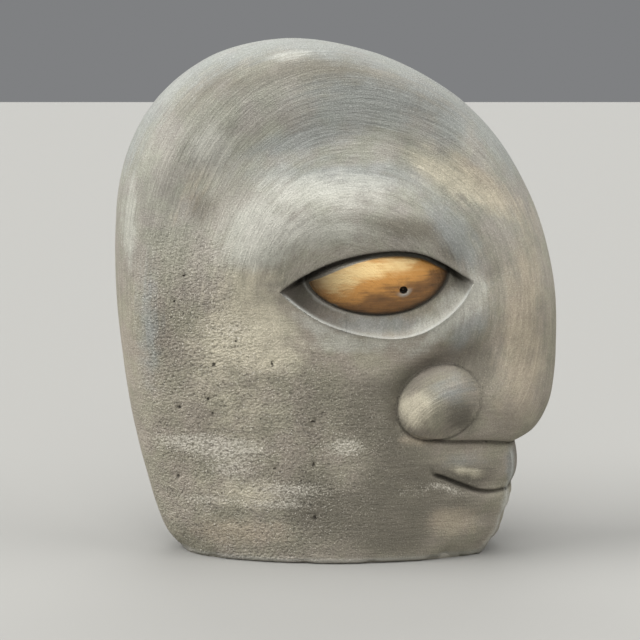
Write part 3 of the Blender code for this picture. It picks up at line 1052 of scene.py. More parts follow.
@dataclass(frozen=True)
class WeatheringAndPaintedLight:
    """Where the surface is stained, worn or grimy, and where shade and highlights are painted on it, as soft
    masks from 0 to 1 on the side view.

    Gaps between the eye's shelf and ball are in metres, those about the wing and the pupil in shares of their
    own size, and all others in shares of the height.
    """

    form: HeadForm
    work: Workmanship
    cream: tuple[Oval, ...] = (
        Oval((-0.160, 0.485), 0.075, 0.055), Oval((-0.190, 0.440), 0.080, 0.055),
        Oval((-0.120, 0.415), 0.070, 0.040, 0.0, 0.75), Oval((0.215, 0.745), 0.110, 0.036, -30.0),
        # The first oval on this line is painted light on the lit lower left of the nose's wing.
        Oval((0.147, 0.315), 0.040, 0.042), Oval((-0.180, 0.140), 0.085, 0.036, 0.0, 0.8),
        # The second oval on this line is painted light under the brow's back end.
        Oval((-0.250, 0.350), 0.060, 0.060, 0.0, 0.45), Oval((-0.165, 0.563), 0.070, 0.036, 0.0, 0.7),
        # The second oval on this line is a painted highlight on the upper lip.
        Oval((-0.165, 0.300), 0.070, 0.070, 0.0, 0.5), Oval((0.250, 0.183), 0.040, 0.013, -14.0, 0.8))
    pale: tuple[Oval, ...] = (
        # The first oval on this line is a painted highlight on the top of the brow.
        Oval((-0.010, 0.725), 0.150, 0.036), Oval((-0.020, 0.650), 0.095, 0.032),
        # The first oval on this line is painted light on the brow's lit back end.
        Oval((-0.160, 0.672), 0.060, 0.034, 30.0, 0.9), Oval((0.225, 0.500), 0.040, 0.028, 45.0),
        Oval((0.262, 0.540), 0.026, 0.040), Oval((0.175, 0.440), 0.060, 0.016, 35.0, 0.8),
        Oval((-0.232, 0.800), 0.045, 0.050, -30.0), Oval((-0.388, 0.650), 0.020, 0.100, 0.0, 0.9),
        # The second oval on this line is a painted glint on the crown.
        Oval((-0.300, 0.880), 0.040, 0.070, -45.0, 0.45), Oval((-0.085, 0.968), 0.045, 0.012, 4.0, 0.75),
        Oval((0.336, 0.104), 0.014, 0.036, 8.0), Oval((0.215, 0.515), 0.030, 0.022, 45.0, 0.8),
        # Both ovals on this line are painted light on the brow's back end, which is lit.
        Oval((-0.128, 0.648), 0.060, 0.036, 20.0), Oval((-0.145, 0.608), 0.070, 0.036, 10.0),
        Oval((0.045, 0.436), 0.090, 0.020, 0.0, 0.9), Oval((0.165, 0.470), 0.040, 0.014, 25.0, 0.9),
        Oval((-0.035, 0.468), 0.060, 0.018, -28.0, 0.9), Oval((0.200, 0.480), 0.030, 0.016, 35.0, 0.8))
    tan: tuple[Oval, ...] = (
        Oval((0.350, 0.480), 0.045, 0.200, -4.0, 0.85), Oval((0.270, 0.735), 0.100, 0.030, -38.0),
        Oval((-0.250, 0.750), 0.030, 0.110, -30.0, 0.5), Oval((0.310, 0.330), 0.040, 0.040, 0.0, 0.35),
        Oval((0.225, 0.080), 0.060, 0.034), Oval((0.154, 0.249), 0.045, 0.013),
        # The second oval on this line is painted light on the shaded front of the nose.
        Oval((-0.190, 0.060), 0.120, 0.034, 0.0, 0.9), Oval((0.365, 0.390), 0.040, 0.100, 0.0, 0.6))
    cool: tuple[Oval, ...] = (
        # The first oval on this line is partly the paste's colour and partly painted shade in the forehead's
        # scoop; the second is painted shade along the back, where the edge starts to turn.
        Oval((0.060, 0.885), 0.170, 0.065), Oval((-0.352, 0.470), 0.030, 0.140, 0.0, 0.75),
        Oval((0.221, 0.640), 0.034, 0.110, 35.0), Oval((0.212, 0.835), 0.040, 0.040),
        Oval((-0.060, 0.815), 0.130, 0.022, 14.0), Oval((0.214, 0.352), 0.055, 0.042, 0.0, 0.65),
        Oval((0.243, 0.205), 0.060, 0.020, 0.0, 0.6), Oval((0.340, 0.180), 0.014, 0.050),
        Oval((0.080, 0.470), 0.120, 0.022), Oval((0.010, 0.750), 0.180, 0.030),
        Oval((0.245, 0.465), 0.060, 0.035, 45.0, 0.9))
    dull: tuple[Oval, ...] = (
        Oval((0.130, 0.170), 0.080, 0.090), Oval((0.145, 0.655), 0.110, 0.024, -8.0),
        # The first oval on this line is painted shade on the lower right of the nose's wing.
        Oval((0.232, 0.305), 0.032, 0.050, 30.0), Oval((0.080, 0.345), 0.100, 0.050, 0.0, 0.65),
        Oval((-0.250, 0.690), 0.040, 0.040, 0.0, 0.7), Oval((0.040, 0.100), 0.110, 0.065),
        Oval((0.125, 0.090), 0.070, 0.075), Oval((0.115, 0.080), 0.055, 0.055),
        Oval((0.060, 0.285), 0.070, 0.070, 0.0, 0.75), Oval((-0.300, 0.420), 0.050, 0.110, 0.0, 0.5),
        # The second oval on this line is painted shade along the back, where the edge starts to turn.
        Oval((0.240, 0.170), 0.060, 0.030), Oval((-0.338, 0.470), 0.020, 0.080, 0.0, 0.5),
        Oval((-0.070, 0.028), 0.140, 0.020, 0.0, 0.5), Oval((-0.050, 0.300), 0.050, 0.100, 0.0, 0.5),
        Oval((-0.055, 0.125), 0.055, 0.075, 0.0, 0.85), Oval((0.300, 0.060), 0.040, 0.060, 0.0, 0.5),
        # The second oval on this line is painted shade on the top of the brow's back end.
        Oval((0.295, 0.190), 0.070, 0.024, 0.0, 0.5), Oval((-0.172, 0.732), 0.060, 0.050, 0.0, 0.50),
        Oval((0.268, 0.392), 0.044, 0.050), Oval((0.215, 0.612), 0.036, 0.026, -40.0),
        Oval((0.235, 0.125), 0.050, 0.030, 0.0, 0.75), Oval((0.110, 0.250), 0.030, 0.040, 0.0, 0.7),
        Oval((0.285, 0.700), 0.030, 0.040, -30.0, 0.5), Oval((0.290, 0.565), 0.026, 0.040, 0.0, 0.6))
    chalk: tuple[Oval, ...] = (
        Oval((-0.270, 0.242), 0.080, 0.018), Oval((-0.205, 0.230), 0.080, 0.022),
        Oval((0.018, 0.236), 0.040, 0.020), Oval((-0.200, 0.190), 0.060, 0.024, 0.0, 0.7),
        Oval((-0.088, 0.150), 0.085, 0.018, 0.0, 0.8), Oval((-0.110, 0.120), 0.070, 0.012, 0.0, 0.8),
        Oval((-0.250, 0.125), 0.070, 0.012, 0.0, 0.7), Oval((-0.200, 0.460), 0.090, 0.050, 0.0, 0.42),
        # The second oval on this line is partly chalk and partly a painted highlight on the lower lip's edge.
        Oval((0.160, 0.150), 0.045, 0.008, 10.0, 0.7), Oval((0.218, 0.147), 0.034, 0.007, -22.0, 0.9))

    calm: Oval = Oval((-0.020, 0.700), 0.150, 0.075)
    high: Span = (0.42, 0.77)
    far_shift: Place = (0.035, -0.028)
    # A painted bluish sky tint on the rounded-over edge of the upper silhouette.
    cool_sky_tint_band: Trace = Trace(0.9, 0.045)
    cool_sky_tint_band_foot: Span = (0.66, 0.81)
    # Partly the paste's dull colour and partly painted shade, in a band just under the crown.
    dull_shaded_band: Trace = Trace(1.0, 0.055)
    dull_shaded_band_inset: float = 0.050
    dull_shaded_band_foot: Span = (0.80, 0.88)
    dull_shaded_band_strength: Pair = (0.66, 0.92)
    dull_shaded_band_front: Span = (-0.15, 0.05)

    stain_rim: float = 0.0010
    stain_fade: float = 0.005
    stain_gap: float = 0.0085
    stain_gap_back: float = 0.0095
    stain_gap_front: float = 0.002
    stain_back: Span = (0.09, -0.04)
    stain_front: Span = (0.15, 0.20)
    ball_foot: float = 0.036
    least_ball: float = 0.02
    # The stain is lighter higher on the ball: partly its own colour, partly painted light where the ball
    # faces up.
    high_share: float = 0.48
    # A painted highlight band above the pupil, the stain lighter at the back end, and darker at the front
    # end.
    highlight_and_tone_patches: tuple[Oval, ...] = (
        Oval((0.078, 0.580), 0.105, 0.024, 10.0, 0.52), Oval((-0.010, 0.537), 0.060, 0.038, 0.0, 0.52),
        Oval((0.200, 0.570), 0.040, 0.060, 0.0, -0.22))

    # Painted shade, with grime, in creases and hollows: under and along the upper lid, in the eye's corners,
    # round the ball, in the pupil's hole, round the wing and under its lower right, under the nose, in the
    # mouth, beside the nose, and on the lips' front, which is turned from the light.
    lid_line: Trace = Trace(0.65, 0.0035)
    lid_line_foot: Span = (0.0, 0.006)
    lid_line_back: Span = (-0.112, -0.102)
    lid_line_front: Span = (0.262, 0.252)
    under_lid: float = 0.85
    under_lid_strip: Span = (1.35, 0.35)
    outer_corner: Span = (0.080, -0.090)
    inner_corner: float = 0.7
    inner_corner_back: Span = (0.205, 0.225)
    inner_corner_foot: Span = (0.045, 0.015)
    ball_crease: Trace = Trace(0.9, 0.0024, 0.0010)
    pupil_reach: float = 1.005
    wing_groove: Trace = Trace(0.50, 0.11)
    wing_groove_side: Span = (-0.01, 0.08)
    wing_line: Trace = Trace(0.62, 0.030)
    under_wing_shade: Oval = Oval((0.238, 0.290), 0.042, 0.030, 42.0, 0.36)
    nose_foot: Trace = Trace(0.60, 0.003, 0.0045)
    nose_foot_back: Span = (0.13, 0.17)
    mouth: float = 0.85
    mouth_reach: Pair = (0.0034, 0.08)
    nose_hollow: float = 0.50
    nose_hollow_reach: tuple[float, ...] = (0.030, 0.3, 0.9, 0.5)
    lip_front_shade: Trace = Trace(0.45, 0.011)
    lip_front_foot: Span = (0.125, 0.145)

    # Painted highlights, with wear, on the lower lid's rim, the pupil's lower rim and the lips' front edge,
    # which catch the light; the foot's edge is worn.
    rubbed_and_lit_rim: Trace = Trace(0.9, 0.0026)
    rubbed_rim_end: float = 0.06
    pupil_rim: Trace = Trace(0.95, 0.20)
    pupil_rim_out: float = 1.21
    pupil_rim_lean: float = 0.45
    pupil_rim_low: Span = (-0.35, 1.05)
    ledge: Trace = Trace(0.30, 0.0007)
    ledge_drop: float = 0.0020
    ledge_front: Span = (0.06, 0.0)
    bare_line: Trace = Trace(0.60, 0.0020)
    bare_back: Span = (0.03, 0.08)
    bare_front: Span = (0.22, 0.18)
    rubbed_foot: Trace = Trace(0.35, 0.006)
    rubbed_foot_level: float = 0.006
    front_edge_highlight: float = 0.32

    def patches(self, ovals: tuple[Oval, ...], place: Array, side: Side) -> Array:
        """The ovals' soft patches together; on the far side they sit a little elsewhere.

        Args:
            ovals: The patches.
            place: Places on the side view.
            side: Which side of the head.

        Returns:
            The mask, by taking away each patch from what the others leave.
        """
        moved = place if side is Side.SHOWN else place + np.array(self.far_shift)
        left = np.ones(len(place))
        for oval in ovals:
            left = left * (1.0 - oval.spot(moved))
        return 1.0 - left

    def stain(self, place: Array) -> Array:
        """Where the eyeball takes the amber stain: on the ball, short of the lid above it.

        Args:
            place: Places on the side view.

        Returns:
            A product of steps: out of the opening, off the shelf and clear of the upper lid.
        """
        shelf, ball = self.form.shelf_and_ball(place, self.form.slab(place)[0])
        inside, under, _, _ = self.form.opening(place)
        clear = step((under - self.stain_start(place[:, 0])) / self.stain_fade)
        return inside * step((ball - shelf) / self.stain_rim) * clear

    def stain_start(self, forward: Array) -> Array:
        """How far under the upper lid the stain starts: furthest at the ball's two ends."""
        back = self.stain_gap_back * between(forward, *self.stain_back)
        return self.stain_gap + back + self.stain_gap_front * between(forward, *self.stain_front)

    def lift(self, place: Array) -> Array:
        """How light the stain is, from 0 to 1: by the height on the ball, which is partly painted light on
        its upper part, with lighter and darker patches about the pupil, one a painted highlight.

        Args:
            place: Places on the side view.

        Returns:
            The lightness: lowest at the bottom and towards the nose.
        """
        _, under, over, _ = self.form.opening(place)
        tall = np.maximum(over + under - self.ball_foot, self.least_ball)
        high = self.high_share * np.clip((over - self.ball_foot) / tall, 0.0, 1.0)
        return np.clip(high + sum(glow.spot(place) for glow in self.highlight_and_tone_patches), 0.0, 1.0)

    def eye_shade_and_dirt(self, place: Array) -> list[Array]:
        """Painted shade, with grime, about the eye: along the upper lid, in the two corners, round the ball,
        and in the pupil.

        Args:
            place: Places on the side view.

        Returns:
            One mask for each.
        """
        form = self.form
        shelf, ball = form.shelf_and_ball(place, form.slab(place)[0])
        inside, under, over, _ = form.opening(place)
        forward = place[:, 0]
        strip = self.under_lid * between(under / self.stain_start(forward), *self.under_lid_strip)
        lid = np.where(inside, strip, self.lid_line.across(under)) * between(over, *self.lid_line_foot)
        lid = lid * between(forward, *self.lid_line_back) * between(forward, *self.lid_line_front)
        outer = inside * between(forward, *self.outer_corner)
        inner = inside * self.inner_corner * between(forward, *self.inner_corner_back)
        inner = inner * between(under, *self.inner_corner_foot)
        away = np.linalg.norm((place - form.pupil) * form.height, axis=1)
        hole = away < self.pupil_reach * form.pupil_radius
        return [lid, outer, inner, inside * self.ball_crease.across(ball - shelf), hole]

    def face_shade_and_dirt(self, place: Array) -> list[Array]:
        """Painted shade, with grime, on the face: round the wing, below the nose, in the mouth, beside the
        nose, on the lip.

        Args:
            place: Places on the side view.

        Returns:
            One mask for each.
        """
        form = self.form
        forward, up = place.T
        out = form.wing_oval.out(place)
        groove = self.wing_groove.across(out - form.wing_groove_ring[0])
        groove = groove * between(form.behind_wing(place), *self.wing_groove_side)
        line = self.wing_line.across(out - form.wing_line_ring[0]) * form.wing_crispness(place)
        nose = self.nose_foot.across(up - form.nose_underside.level(forward))
        nose = nose * between(forward, *self.nose_foot_back)
        mouth = self.mouth * Stripe(form.mouth_slit.line, *self.mouth_reach).on(place)
        hollow = self.nose_hollow * Stripe(form.nose_hollow.line, *self.nose_hollow_reach).on(place)
        lip = self.lip_front_shade.across(nearest(place, form.front())[0])
        lip = lip * between(up, *form.lip_top) * between(up, *self.lip_front_foot)
        return [groove, line, self.under_wing_shade.spot(place), nose, mouth, hollow, lip]

    def creases(self, place: Array) -> Array:
        """All the painted shade and grime together: the darkest mask at each place."""
        return np.clip(np.max(self.eye_shade_and_dirt(place) + self.face_shade_and_dirt(place), axis=0), 0.0, 1.0)

    def worn_and_lit_edges(self, place: Array) -> Array:
        """Where edges are worn, and where painted highlights lie on edges that catch the light: the lower
        lid, the foot, the front of the lips, the pupil's lower rim.

        Args:
            place: Places on the side view.

        Returns:
            The greatest of narrow bells about each edge.
        """
        form = self.form
        forward, up = place.T
        gap, along = form.lower_lid.near(place)
        rim = self.rubbed_and_lit_rim.across(gap) * np.maximum(along, 1.0 - along)
        rim = rim * step(along / self.rubbed_rim_end) * step((1.0 - along) / self.rubbed_rim_end)
        away = (place - form.pupil) * form.height / form.pupil_radius
        low = between(self.pupil_rim_lean * away[:, 0] - away[:, 1], *self.pupil_rim_low)
        pupil = self.pupil_rim.across(np.linalg.norm(away, axis=1) - self.pupil_rim_out) * low
        shelf, ball = form.shelf_and_ball(place, form.slab(place)[0])
        inside, under, _, _ = form.opening(place)
        ledge = self.ledge.across(ball - shelf + self.ledge_drop) * inside
        ledge = ledge * between(forward, *self.ledge_front)
        bare = self.bare_line.across(under - self.stain_start(forward)) * inside * (ball > shelf)
        bare = bare * between(forward, *self.bare_back) * between(forward, *self.bare_front)
        foot = self.rubbed_foot.across(up - self.rubbed_foot_level)
        return np.max([rim, pupil, ledge, bare, foot, self.front_edge_highlight * form.along_front(place)], axis=0)

    def cooled(self, place: Array, side: Side) -> Array:
        """Bluish grey: its patches, and a band of painted bluish sky tint along the upper part of the
        silhouette.

        Args:
            place: Places on the side view.
            side: Which side of the head.

        Returns:
            The mask.
        """
        gap = nearest(place, self.form.skull.path())[0]
        band = self.cool_sky_tint_band.across(gap) * between(place[:, 1], *self.cool_sky_tint_band_foot)
        return np.maximum(self.patches(self.cool, place, side), band)

    def dulled(self, place: Array, side: Side) -> Array:
        """Dull grey: its patches, and a band just under the crown, stronger in front, partly dull paste and
        partly painted shade.

        Args:
            place: Places on the side view.
            side: Which side of the head.

        Returns:
            The mask.
        """
        gap = nearest(place, self.form.skull.path())[0]
        behind, before = self.dull_shaded_band_strength
        band = behind + (before - behind) * between(place[:, 0], *self.dull_shaded_band_front)
        band = band * self.dull_shaded_band.across(gap - self.dull_shaded_band_inset)
        band = band * between(place[:, 1], *self.dull_shaded_band_foot)
        return np.maximum(self.patches(self.dull, place, side), band)

    def masks(self, place: Array, side: Side) -> dict[str, Array]:
        """All the masks that the finish reads.

        Args:
            place: Places on the side view.
            side: Which side of the head.

        Returns:
            Each mask by its attribute's name.
        """
        drifts = {"pale": self.pale, "cream": self.cream, "tan": self.tan, "chalk": self.chalk}
        return {
            "stain": self.stain(place),
            "crease": self.creases(place),
            "edge": self.worn_and_lit_edges(place),
            "lift": self.lift(place),
            "level": self.work.level(place),
            "high": between(place[:, 1], *self.high),
            "calm": self.calm.spot(place),
            "sandy": self.work.sandy(place),
            "dull": self.dulled(place, side),
            "cool": self.cooled(place, side),
            **{name: self.patches(ovals, place, side) for name, ovals in drifts.items()},
        }


# Finishes


def linear(hex_colour: str) -> tuple[float, float, float, float]:
    """A colour written as sRGB hex, as Blender's linear values.

    Args:
        hex_colour: Six hex digits after a #.

    Returns:
        Red, green and blue with the sRGB curve undone, and an alpha of one.
    """
    parts = [int(hex_colour[i:i + 2], 16) / 255.0 for i in (1, 3, 5)]
    red, green, blue = (v / 12.92 if v <= 0.04045 else ((v + 0.055) / 1.055) ** 2.4 for v in parts)
    return red, green, blue, 1.0


@dataclass(frozen=True)
class Nodes:
    """A node tree that is being built."""

    tree: bpy.types.NodeTree

    def add(self, kind: str, inputs: dict[int | str, Any] | None = None, out: int | str = 0,
            **settings: Any) -> Any:
        """Adds a node, sets it up and links it.

        Args:
            kind: The node's type, without the word ShaderNode.
            inputs: For each input's name or number, the value it gets or the output it is linked to.
            out: The name or number of the output wanted.
            settings: The node's own properties.

        Returns:
            That output, or nothing where the node has none.
        """
        made = self.tree.nodes.new("ShaderNode" + kind)
        for name, value in settings.items():
            setattr(made, name, value)
        for key, value in (inputs or {}).items():
            if isinstance(value, bpy.types.NodeSocket):
                self.tree.links.new(value, made.inputs[key])
            else:
                made.inputs[key].default_value = value
        return made.outputs[out] if made.outputs else None


def fresh_material(name: str) -> tuple[bpy.types.Material, Nodes]:
    """A new material with an empty node tree.

    Args:
        name: The material's name.

    Returns:
        The material, and its tree.
    """
    material = bpy.data.materials.new(name)
    material.use_nodes = True
    material.node_tree.nodes.clear()
    return material, Nodes(material.node_tree)


def grain(nodes: Nodes, vector: Any, size: Triple, detail: float) -> Any:
    """Cloudy grain of a real size.

    Args:
        nodes: The tree.
        vector: Coordinates in millimetres.
        size: The grain's size along each of them, in millimetres.
        detail: How many finer layers it has.

    Returns:
        Values from 0 to 1 about a half.
    """
    scaled = nodes.add("VectorMath", {0: vector, 1: size}, operation="DIVIDE")
    noise = {"Vector": scaled, "Scale": 1.0, "Detail": detail, "Roughness": GRAIN_ROUGHNESS}
    return nodes.add("TexNoise", noise, "Fac")


def ragged(nodes: Nodes, mask: Any, noise: Any, amount: float) -> Any:
    """A soft mask with its edge broken up: the mask plus so much noise, made steep about the middle.

    Args:
        nodes: The tree.
        mask: The soft mask.
        noise: The noise.
        amount: How far the noise moves the edge.

    Returns:
        The broken mask.
    """
    moved = nodes.add("Math", {0: noise, 1: amount, 2: mask}, operation="MULTIPLY_ADD")
    start, full = (edge + 0.5 * amount for edge in BROKEN_EDGE)
    return nodes.add("MapRange", {0: moved, 1: start, 2: full}, interpolation_type="SMOOTHSTEP")


def shaded(nodes: Nodes, colour: Any, noise: Any, amount: Any) -> Any:
    """A colour made lighter and darker by noise: times one plus twice the amount of the noise over a half.

    Args:
        nodes: The tree.
        colour: The colour.
        noise: The noise, about a half.
        amount: How much it changes the colour.

    Returns:
        The shaded colour.
    """
    swing = nodes.add("Math", {0: noise, 1: 2.0, 2: -1.0}, operation="MULTIPLY_ADD")
    factor = nodes.add("Math", {0: swing, 1: amount, 2: 1.0}, operation="MULTIPLY_ADD")
    return nodes.add("VectorMath", {0: colour, "Scale": factor}, operation="SCALE")


@dataclass(frozen=True)
class AmberStain:
    """Amber wood stain brushed onto the concrete eye and sealed: streaky, a little glossy where thick.

    The sizes are in millimetres along X, Y and Z. The bare patch is where the brush has missed: its place,
    how each direction counts in the distance from it, and where the stain starts and is full.
    """

    pale: str = "#fbdb9c"
    amber: str = "#d69a50"
    brown: str = "#8a6136"
    dark: str = "#4c3724"
    roughness: float = 0.46
    streak: Triple = (9.0, 12.0, 1.1)
    cloud: Triple = (9.0, 10.0, 4.5)
    bare_patch: Triple = (-45.0, 3.0, 151.5)
    bare_squash: Triple = (0.0, 1.0, 2.6)
    bare_nearness: float = 0.16
    bare_edge: Span = (0.95, 1.25)
    streak_lift: float = 0.42
    cloud_lift: float = 0.60
    brown_span: Span = (0.30, 0.66)
    amber_span: Span = (0.62, 1.00)
    pale_span: Span = (1.02, 1.50)
    raggedness: float = 0.4

    def brush(self, nodes: Nodes, colour: Any, place: Any, masks: dict[str, Any]) -> tuple[Any, Any]:
        """Lays the stain over the concrete: pale where it is lightest, which is partly painted light on the
        ball's upper part, then amber, and brown below.

        Args:
            nodes: The tree.
            colour: The concrete's colour so far.
            place: Object coordinates in millimetres.
            masks: The masks by name.

        Returns:
            The colour with the stain, and how much stain there is.
        """
        fibre = grain(nodes, place, self.streak, 3.0)
        cloud = grain(nodes, place, self.cloud, 2.0)
        light = nodes.add("Math", {0: fibre, 1: self.streak_lift, 2: masks["lift"]}, operation="MULTIPLY_ADD")
        light = nodes.add("Math", {0: cloud, 1: self.cloud_lift, 2: light}, operation="MULTIPLY_ADD")
        stain = linear(self.dark)
        tints = (self.brown_span, self.brown), (self.amber_span, self.amber), (self.pale_span, self.pale)
        for (low, high), tint in tints:
            share = nodes.add("MapRange", {0: light, 1: low, 2: high}, interpolation_type="SMOOTHSTEP")
            stain = nodes.add("Mix", {0: share, 6: stain, 7: linear(tint)}, 2, data_type="RGBA")
        squashed = nodes.add("VectorMath", {0: place, 1: self.bare_squash}, operation="MULTIPLY")
        middle = tuple(at * by for at, by in zip(self.bare_patch, self.bare_squash))
        away = nodes.add("VectorMath", {0: squashed, 1: middle}, "Value", operation="DISTANCE")
        scuffed = nodes.add("Math", {0: away, 1: self.bare_nearness, 2: fibre}, operation="MULTIPLY_ADD")
        ends = {0: scuffed, 1: self.bare_edge[0], 2: self.bare_edge[1]}
        kept = nodes.add("MapRange", ends, interpolation_type="SMOOTHSTEP")
        share = ragged(nodes, masks["stain"], fibre, self.raggedness)
        share = nodes.add("Math", {0: share, 1: kept}, operation="MULTIPLY")
        return nodes.add("Mix", {0: share, 6: colour, 7: stain}, 2, data_type="RGBA"), share


@dataclass(frozen=True)
class Drift:
    """A drift of another colour: the mask that it follows, its colour, and how strongly it covers."""

    mask: str
    colour: str
    strength: float


@dataclass(frozen=True)
class TrowelledConcrete:
    """Sand and cement, cast in a mould and gone over with wet trowel and brush: matt, streaked, patchy.

    Cement paste drawn over the sand leaves the face and the crown smooth, with fine brush lines round the
    eye. Low down at the back the sand shows through. Colours wander between warm and bluish grey as the
    paste dried. All sizes are in millimetres. Sand, dust and brush lines are almost too fine to show, and
    are drawn a little coarser than real. An edge is where a mask or noise starts and where it is full. A
    pair for a share, shade or relief is its gain from its mask and its amount without it.
    """

    name: str = "trowelled_concrete"
    grey: str = "#9c9485"
    deep: str = "#8b8475"
    high_grey: str = "#a3a196"
    high_deep: str = "#929087"
    drifts: tuple[Drift, ...] = (
        Drift("dull", "#6c675b", 0.90), Drift("cool", "#8a8e8c", 0.65), Drift("tan", "#ac9f8b", 0.65),
        Drift("cream", "#c5bda7", 0.80), Drift("pale", "#b6b5ab", 0.70))
    chalk: str = "#cfc9bb"
    olive: str = "#93967f"
    mauve: str = "#a1968f"
    speck: str = "#ddd8cc"
    # Light grey for worn edges and for painted highlights on edges that catch the light.
    rubbed_and_lit_colour: str = "#c4c5be"
    # Dark brown for grime and for painted shade in creases, air holes and sand pits.
    shade_and_dirt: str = "#302b24"
    roughness: float = 0.86
    streak_size: Pair = (15.0, 1.3)
    drag_size: Pair = (32.0, 4.2)
    sand_size: Triple = (1.8, 1.8, 1.35)
    pebble_size: Triple = (1.9, 1.9, 1.5)
    dust_size: Triple = (0.8, 0.8, 0.8)
    wobble_size: Triple = (1.6, 1.6, 1.2)
    cloud_size: float = 42.0
    cloud_edge: Span = (0.38, 0.62)
    tinge_size: float = 17.0
    tinge_edge: Span = (0.40, 0.60)
    tinge_share: float = 0.22
    blotch_size: float = 9.0
    blotch_shade: float = 0.20
    drift_raggedness: float = 1.4
    streak_shade: float = 0.28
    calm_shade: float = -0.15
    drag_shade: float = 0.15
    dust_shade: float = 0.36
    sand_shade: Pair = (0.42, 0.06)
    level_range: Pair = (0.12, 0.88)
    chalk_raggedness: float = 1.0
    bloom_edge: Span = (0.44, 0.56)
    bloom_share: Pair = (0.62, 0.26)
    speck_edge: Span = (0.64, 0.72)
    speck_share: Pair = (0.50, 0.10)
    chalk_specks: float = 0.40
    pit_edge: Span = (0.36, 0.28)
    pit_shade: float = 0.22
    shade_and_dirt_share: float = 0.88
    pebble_share: float = 0.18
    gloss_swing: float = 0.12
    smooth_where_sandy: float = -0.6
    smooth_where_calm: float = -0.45
    sand_relief: Pair = (1.85, 0.16)
    drag_relief: float = 0.20
    streak_relief: float = 0.45
    dust_relief: float = 0.30
    pit_relief: float = -0.32
    hole_thickness: float = 4.0
    hole_wobble: float = 2.2
    hole_edge: Span = (2.10, 1.55)
    stain: AmberStain = AmberStain()

    def material(self, work: Workmanship) -> bpy.types.Material:
        """The whole finish as one material.

        Args:
            work: Where the air holes are.

        Returns:
            The material.
        """
        material, nodes = fresh_material(self.name)
        place = nodes.add("VectorMath", {
            0: nodes.add("TexCoord", out="Object"), "Scale": 1.0 / MM}, operation="SCALE")
        names = ("stain", "crease", "edge", "lift", "level", "high", "calm", "sandy", "dull", "cool", "tan",
                 "cream", "pale", "chalk")
        masks = {name: nodes.add("Attribute", out="Fac", attribute_name=name) for name in names}
        streak = self.strokes(nodes, place, masks, self.streak_size)
        drag = self.strokes(nodes, place, masks, self.drag_size)
        sand = self.grains(nodes, place)
        dust = grain(nodes, place, self.dust_size, 1.0)
        holes = self.air_hole_shade(nodes, place, work)

        colour = self.paste(nodes, place, masks, drag)
        faint = {0: masks["calm"], 1: self.calm_shade, 2: self.streak_shade}
        colour = shaded(nodes, colour, streak, nodes.add("Math", faint, operation="MULTIPLY_ADD"))
        colour = shaded(nodes, colour, drag, self.drag_shade)
        colour = self.sanded(nodes, colour, masks, sand, dust)
        # Painted shade, with grime, in the creases and inside the air holes.
        shade_and_dirt_amount = nodes.add("Math", {0: masks["crease"], 1: self.shade_and_dirt_share}, operation="MULTIPLY")
        shade_and_dirt_amount = nodes.add("Math", {0: shade_and_dirt_amount, 1: holes}, operation="MAXIMUM")
        colour = nodes.add("Mix", {0: shade_and_dirt_amount, 6: colour, 7: linear(self.shade_and_dirt)}, 2, data_type="RGBA")
        colour, stain_share = self.stain.brush(nodes, colour, place, masks)
        # Painted shade, with grime, in the creases again over the stain.
        colour = nodes.add("Mix", {
            0: nodes.add("Math", {0: masks["crease"], 1: stain_share}, operation="MULTIPLY"),
            6: colour, 7: linear(self.shade_and_dirt)}, 2, data_type="RGBA")
        # Worn edges, and painted highlights on edges that catch the light.
        colour = nodes.add("Mix", {0: masks["edge"], 6: colour, 7: linear(self.rubbed_and_lit_colour)}, 2, data_type="RGBA")

        bump = nodes.add("Bump", {
            "Height": self.height(nodes, masks, streak, drag, sand, dust), "Distance": MM, "Strength": 1.0})
        both = {0: stain_share, 2: self.roughness, 3: self.stain.roughness}
        dull = nodes.add("Mix", both, data_type="FLOAT")
        dull = nodes.add("Math", {0: streak, 1: self.gloss_swing, 2: dull}, operation="MULTIPLY_ADD")
        shader = nodes.add("BsdfPrincipled", {
            "Base Color": colour, "Roughness": dull, "Normal": bump, "Metallic": 0.0, "IOR": 1.5})
        nodes.add("OutputMaterial", {"Surface": shader})
        return material

    def strokes(self, nodes: Nodes, place: Any, masks: dict[str, Any], size: Pair) -> Any:
        """Brush or trowel strokes: grain stretched round the eye, turning into fainter level grain low down.

        Args:
            nodes: The tree.
            place: Object coordinates in millimetres.
            masks: The masks by name.
            size: The strokes' length and width in millimetres.

        Returns:
            The strokes' noise.
        """
        length, width = size
        stroke = nodes.add("Attribute", out="Vector", attribute_name="stroke")
        turned = grain(nodes, stroke, (length, width, SIDES_SIZE), 2.0)
        flat = grain(nodes, place, (length, length, width), 2.0)
        low, high = self.level_range
        flat = nodes.add("MapRange", {0: flat, 1: 0.0, 2: 1.0, 3: low, 4: high})
        return nodes.add("Mix", {0: masks["level"], 2: turned, 3: flat}, data_type="FLOAT")

